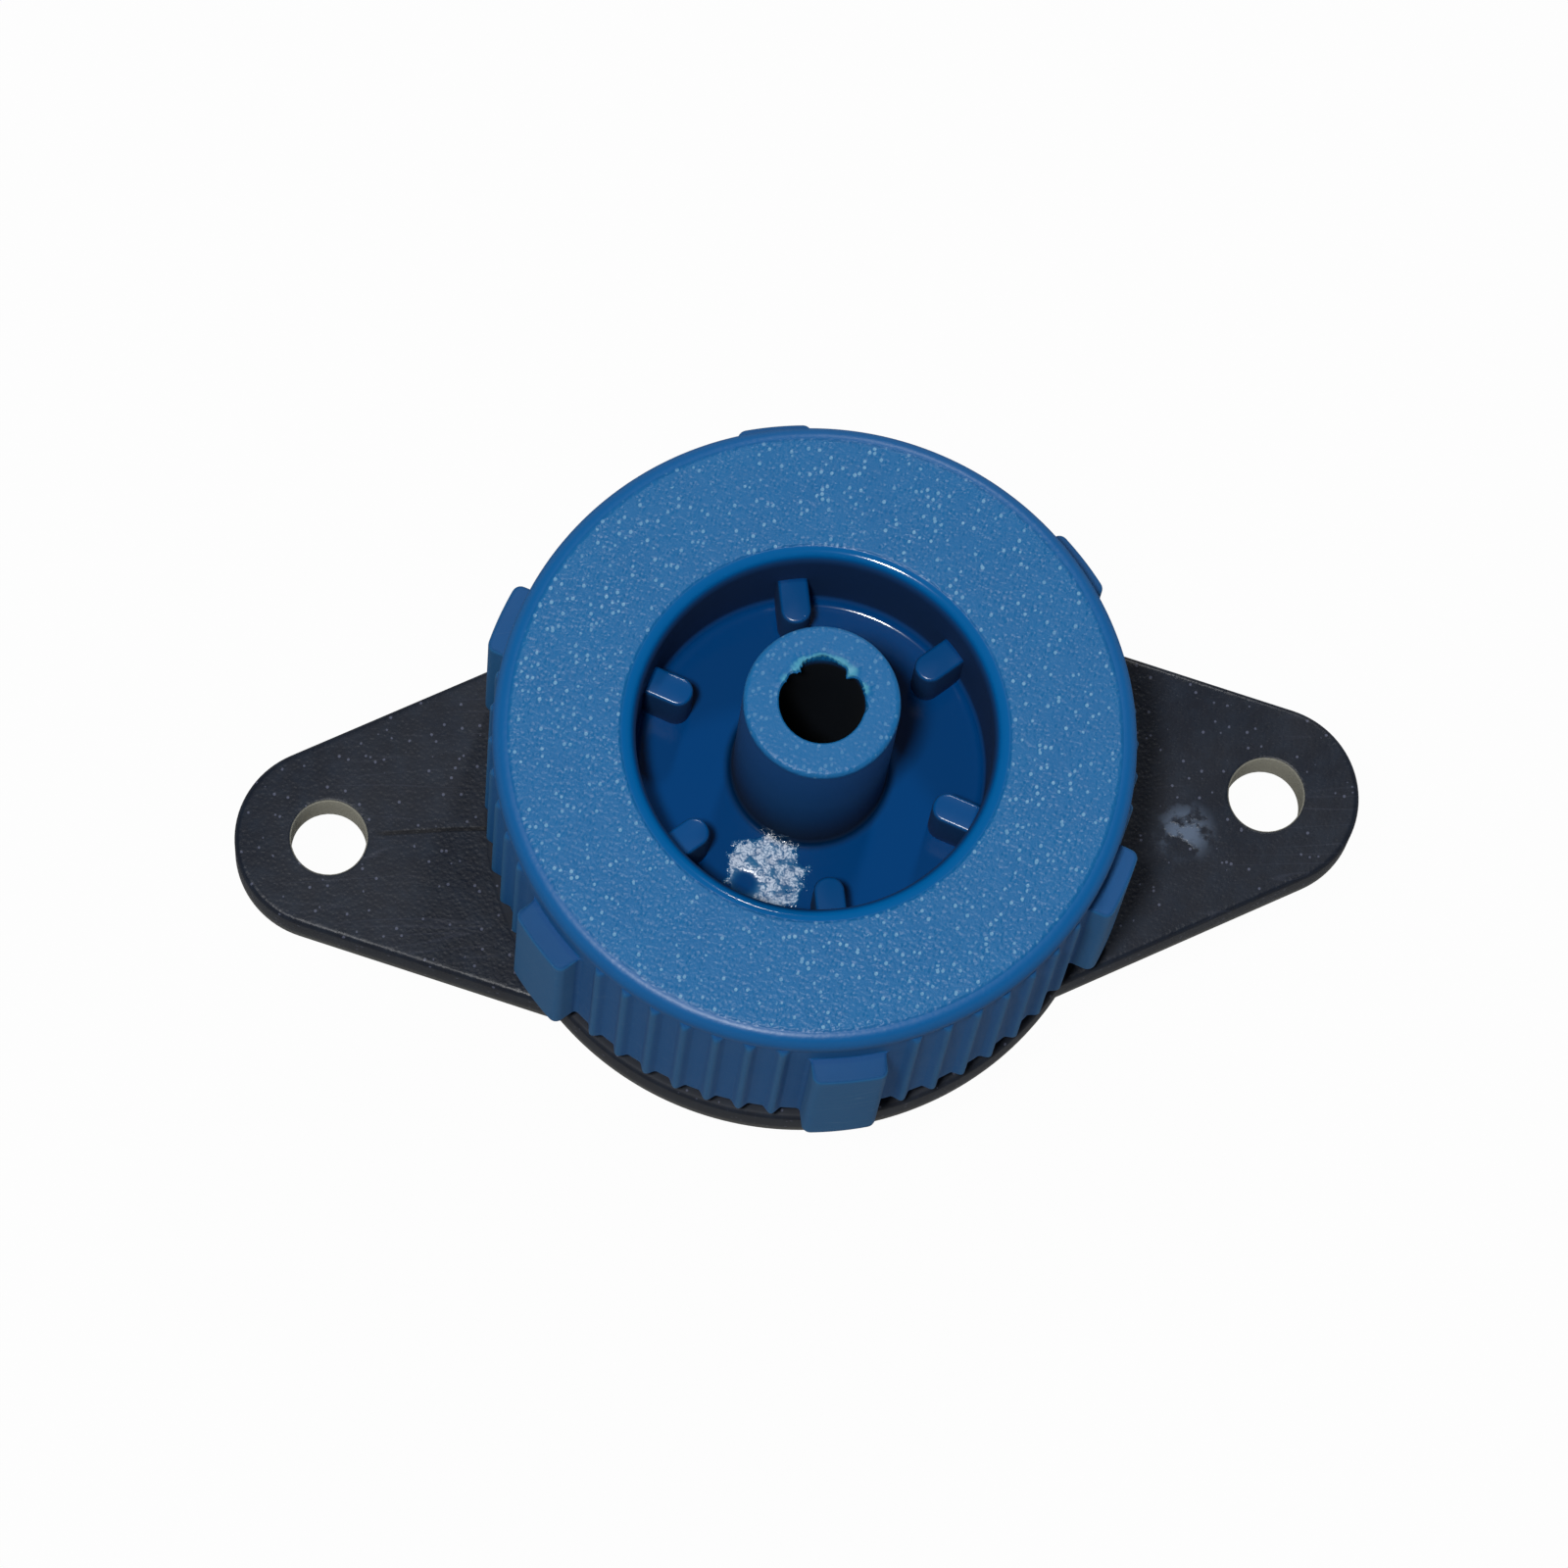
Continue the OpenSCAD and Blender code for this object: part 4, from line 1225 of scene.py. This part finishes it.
    def build(self, shop: Workshop) -> bpy.types.Object:
        """Makes the base's closed shell: outline edge, ears, turned part and inner details.

        Args:
            shop: The shared node groups.

        Returns:
            The base, which replaces its CAD node.
        """
        surface = Surface()
        rows = [lifted(self.outline(inset), height) for inset, height in self.edge_rows(self.edge_round)]
        surface.grid(np.array(rows))
        for ear in Ear:
            self.add_ear(surface, ear)
        profile = self.turned_profile()
        surface.grid(turned(profile, self.ring_angles()))
        self.add_inner_details(surface)
        thread_z = node_box("cap")[0][2] + THREAD.base_start
        ThreadRidge(self.collar_r, thread_z, THREAD.base_span, Facing.OUTWARD).add_to(surface)
        base = surface.object("base_with_ears")
        base.data.materials.append(self.finish.material(self, shop))
        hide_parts("base_body")
        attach(base, "base")
        return base


# --------------------------------------------------------------------------------------- inner pieces


@dataclass(frozen=True)
class SiliconeFinish:
    """Milky silicone with a fine matt skin and faint flow clouds."""

    colour: Colour = (0.62, 0.59, 0.52)
    cloud: Colour = (0.74, 0.72, 0.67)
    roughness: float = 0.5
    grain_cells: float = 9000.0
    grain_depth: float = 0.008

    def material(self, shop: Workshop) -> bpy.types.Material:
        """Builds the material."""
        m = MaterialGraph("silicone", shop)
        height, _ = m.grain(self.grain_cells)
        smudge, _ = m.wear(300.0, 500.0)
        m.set(Base_Color=m.tint(smudge, self.colour, self.cloud), Subsurface_Weight=0.15, IOR=1.41)
        m.set(Roughness=m.math("MULTIPLY_ADD", smudge, 0.1, self.roughness))
        m.bump(height, self.grain_depth)
        return m.material


@dataclass(frozen=True)
class DiscFinish:
    """Natural white polypropylene with a smooth satin skin, and painted shade in the middle, under the cap's
    bore.
    """

    colour: Colour = (0.72, 0.72, 0.68)
    shade: Colour = (0.62, 0.63, 0.6)
    # Painted shade: near black in the middle of the disc, under the cap's bore.
    painted_bore_shade: Colour = (0.008, 0.008, 0.007)
    roughness: float = 0.32
    grain_cells: float = 11000.0
    grain_depth: float = 0.006
    bore_shade_r: Spot = (1.3, 1.7)

    def material(self, shop: Workshop) -> bpy.types.Material:
        """Builds the material."""
        m = MaterialGraph("disc_plastic", shop)
        height, _ = m.grain(self.grain_cells)
        smudge, scratch = m.wear(400.0, 700.0)
        body = m.tint(smudge, self.colour, self.shade)
        # Painted shade in the middle of the disc, under the cap's bore.
        under_bore = m.near(0.0, 0.0, *self.bore_shade_r)
        m.set(Base_Color=m.tint(under_bore, body, self.painted_bore_shade), IOR=1.49)
        rough = m.math("MULTIPLY_ADD", scratch, 0.2, self.roughness)
        m.set(Roughness=m.math("MULTIPLY_ADD", under_bore, 0.5, rough))
        m.bump(m.math("SUBTRACT", height, scratch), self.grain_depth)
        return m.material


@dataclass(frozen=True)
class SealFinish:
    """Black nitrile rubber with a grease sheen and a faint mould parting line."""

    colour: Colour = (0.012, 0.012, 0.013)
    dusty: Colour = (0.035, 0.034, 0.033)
    roughness: float = 0.34
    grain_cells: float = 8000.0
    grain_depth: float = 0.01

    def material(self, shop: Workshop) -> bpy.types.Material:
        """Builds the material."""
        m = MaterialGraph("seal_rubber", shop)
        height, _ = m.grain(self.grain_cells)
        smudge, _ = m.wear(700.0, 700.0)
        middle = sum(corner[2] for corner in node_box("seal_ring")) / 2
        parting = m.fall(m.math("ABSOLUTE", m.math("SUBTRACT", m.z, middle * MM)), 0.02, 0.05)
        m.set(Base_Color=m.tint(m.product(smudge, 0.5), self.colour, self.dusty), IOR=1.5)
        m.set(Roughness=m.math("MULTIPLY_ADD", smudge, 0.18, self.roughness))
        m.bump(m.math("ADD", height, m.product(parting, 2.0)), self.grain_depth)
        return m.material


@dataclass
class Diaphragm:
    """Flat silicone disc with rounded edges, under the labyrinth disc."""

    finish: SiliconeFinish = SiliconeFinish()
    edge: float = 0.12
    columns: int = 128

    def build(self, shop: Workshop) -> bpy.types.Object:
        """Makes the disc as a turned profile with a lid at the middle of each face.

        Args:
            shop: The shared node groups.

        Returns:
            The disc, which replaces its CAD node.
        """
        low, high = node_box("diaphragm")
        radius = high[0]
        upper = arc((radius - self.edge, high[2] - self.edge), self.edge, 90, 0)
        lower = arc((radius - self.edge, low[2] + self.edge), self.edge, 0, -90)
        profile = np.concatenate([[[1.0, high[2]], [radius - self.edge - 0.05, high[2]]], upper, lower,
                                  [[radius - self.edge - 0.05, low[2]], [1.0, low[2]]]])
        angle = np.linspace(0.0, 2 * math.pi, self.columns, endpoint=False)
        surface = Surface()
        numbers = surface.grid(turned(profile, angle))
        surface.lid(numbers[0], np.array([0.0, 0.0, high[2]]))
        surface.lid(numbers[-1], np.array([0.0, 0.0, low[2]]))
        disc = surface.object("silicone_diaphragm")
        disc.data.materials.append(self.finish.material(shop))
        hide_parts("diaphragm")
        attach(disc, "base")
        return disc


def dress(node: str, material: bpy.types.Material) -> bpy.types.Object:
    """Gives a CAD node its material.

    Args:
        node: Name of the node.
        material: The new material.

    Returns:
        The node's object.
    """
    piece = frame["nodes"][node]
    for slot in piece.material_slots:
        slot.material = material
    return piece


# --------------------------------------------------------------------------------------------- stage


@dataclass
class Studio:
    """Pale floor, soft lights and the camera, set round the object. Distances are millimetres."""

    azimuth: float = -13.76
    elevation: float = 74.34
    roll: float = 10.68
    distance: float = 208.0
    aside: Spot = (0.339, -1.221)
    lens: float = 178.5
    floor_size: float = 4000.0
    floor_grey: float = 0.36
    white_seen: float = 0.975
    white_mirrored: float = 0.1

    def add_camera(self) -> None:
        """Makes the camera: its axes come from the three angles, and its place from the distance."""
        turn, tilt, roll = [math.radians(a) for a in (self.azimuth, self.elevation, self.roll)]
        back = Vector((math.sin(turn) * math.cos(tilt), -math.cos(turn) * math.cos(tilt), math.sin(tilt)))
        level = Vector((math.cos(turn), math.sin(turn), 0.0))
        above = back.cross(level)
        right = level * math.cos(roll) + above * math.sin(roll)
        up = above * math.cos(roll) - level * math.sin(roll)
        data = bpy.data.cameras.new("camera")
        data.lens = self.lens
        data.sensor_width = 36.0
        data.clip_start, data.clip_end = 0.01, 10.0
        camera = bpy.data.objects.new("camera", data)
        place = back * self.distance - right * self.aside[0] - up * self.aside[1]
        axes = Matrix((right, up, back)).transposed().to_4x4()
        camera.matrix_world = Matrix.Translation(place * MM) @ axes
        bpy.context.scene.collection.objects.link(camera)
        bpy.context.scene.camera = camera

    def add_light(self, name: str, place: Place, size: float, power: float) -> None:
        """Makes a square area light that points at the object.

        Args:
            name: Name of the light.
            place: Its place.
            size: Length of its side.
            power: Power in watts.
        """
        data = bpy.data.lights.new(name, "AREA")
        data.size = size * MM
        data.energy = power
        light = bpy.data.objects.new(name, data)
        light.location = Vector(place) * MM
        light.rotation_mode = "QUATERNION"
        light.rotation_quaternion = light.location.to_track_quat("Z", "Y")
        bpy.context.scene.collection.objects.link(light)

    def floor_material(self) -> bpy.types.Material:
        """Pale matt floor, mostly plain white to the camera with the shadow kept, and clear from below."""
        material = bpy.data.materials.new("floor")
        material.use_nodes = True
        graph = Graph(material.node_tree)
        graph.tree.nodes.clear()
        path = graph.node("ShaderNodeLightPath")
        mirrored = graph.math("MAXIMUM", path.outputs["Is Glossy Ray"], path.outputs["Is Transmission Ray"])
        seen = graph.product(path.outputs["Is Camera Ray"], self.white_seen)
        share = graph.math("MAXIMUM", graph.product(mirrored, self.white_mirrored), seen)
        matt = graph.node("ShaderNodeBsdfDiffuse", {"Color": (*[self.floor_grey] * 3, 1.0)})
        white = graph.node("ShaderNodeEmission", {"Color": (1.0, 1.0, 1.0, 1.0), "Strength": 1.0})
        mixed = graph.node("ShaderNodeMixShader", {0: share, 1: matt.outputs[0], 2: white.outputs[0]})
        beneath = graph.node("ShaderNodeNewGeometry").outputs["Backfacing"]
        clear = graph.node("ShaderNodeBsdfTransparent")
        shown = graph.node("ShaderNodeMixShader", {0: beneath, 1: mixed.outputs[0], 2: clear.outputs[0]})
        graph.node("ShaderNodeOutputMaterial", {0: shown.outputs[0]})
        return material

    def add_floor(self) -> None:
        """Makes the floor, a large flat grid under the object's lowest point."""
        low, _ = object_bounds()
        across = np.linspace(-self.floor_size / 2, self.floor_size / 2, 5)
        x, y = np.meshgrid(across, across)
        surface = Surface()
        surface.grid(np.stack([x, y, np.full_like(x, low.z / MM)], axis=-1), closed=False)
        floor = surface.object("floor")
        if floor.data.polygons[0].normal.z < 0:
            floor.data.flip_normals()
        floor.data.materials.append(self.floor_material())
        floor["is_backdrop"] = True

    def set_world(self) -> None:
        """White for the camera; for everything else a sky that fades from the horizon to the zenith."""
        scene = bpy.context.scene
        world = bpy.data.worlds.new("studio")
        scene.world = world
        world.use_nodes = True
        graph = Graph(world.node_tree)
        graph.tree.nodes.clear()
        direction = graph.node("ShaderNodeTexCoord").outputs["Generated"]
        height = graph.node("ShaderNodeSeparateXYZ", {0: direction}).outputs[2]
        level = graph.ramp(height, 0.0, 0.7, 0.5, 0.08)
        seen = graph.node("ShaderNodeLightPath").outputs["Is Camera Ray"]
        strength = graph.blend(seen, level, 1.0)
        sky = graph.node("ShaderNodeBackground", {"Color": (1.0, 1.0, 1.0, 1.0), "Strength": strength})
        graph.node("ShaderNodeOutputWorld", {0: sky.outputs[0]})

    def build(self) -> None:
        """Sets up the stage."""
        scene = bpy.context.scene
        scene.view_settings.view_transform = "Standard"
        self.add_camera()
        self.add_light("key", (-50.0, -67.0, 297.0), 28.0, 0.68)
        self.add_light("back", (102.0, 281.0, 303.0), 40.0, 0.46)
        self.add_floor()
        self.set_world()


def main() -> None:
    """Builds each sub-assembly in order, reports it, and sets the stage."""
    logging.basicConfig(level=logging.INFO, format="%(name)s: %(message)s")
    shop = Workshop()
    pieces = [Base().build(shop), Diaphragm().build(shop), Cap().build(shop)]
    pieces.append(dress("labyrinth_disc", DiscFinish().material(shop)))
    pieces.append(dress("seal_ring", SealFinish().material(shop)))
    for piece in pieces:
        LOG.info("%s: %d faces", piece.name, len(piece.data.polygons))
    Studio().build()


if __name__ == "__main__":
    main()
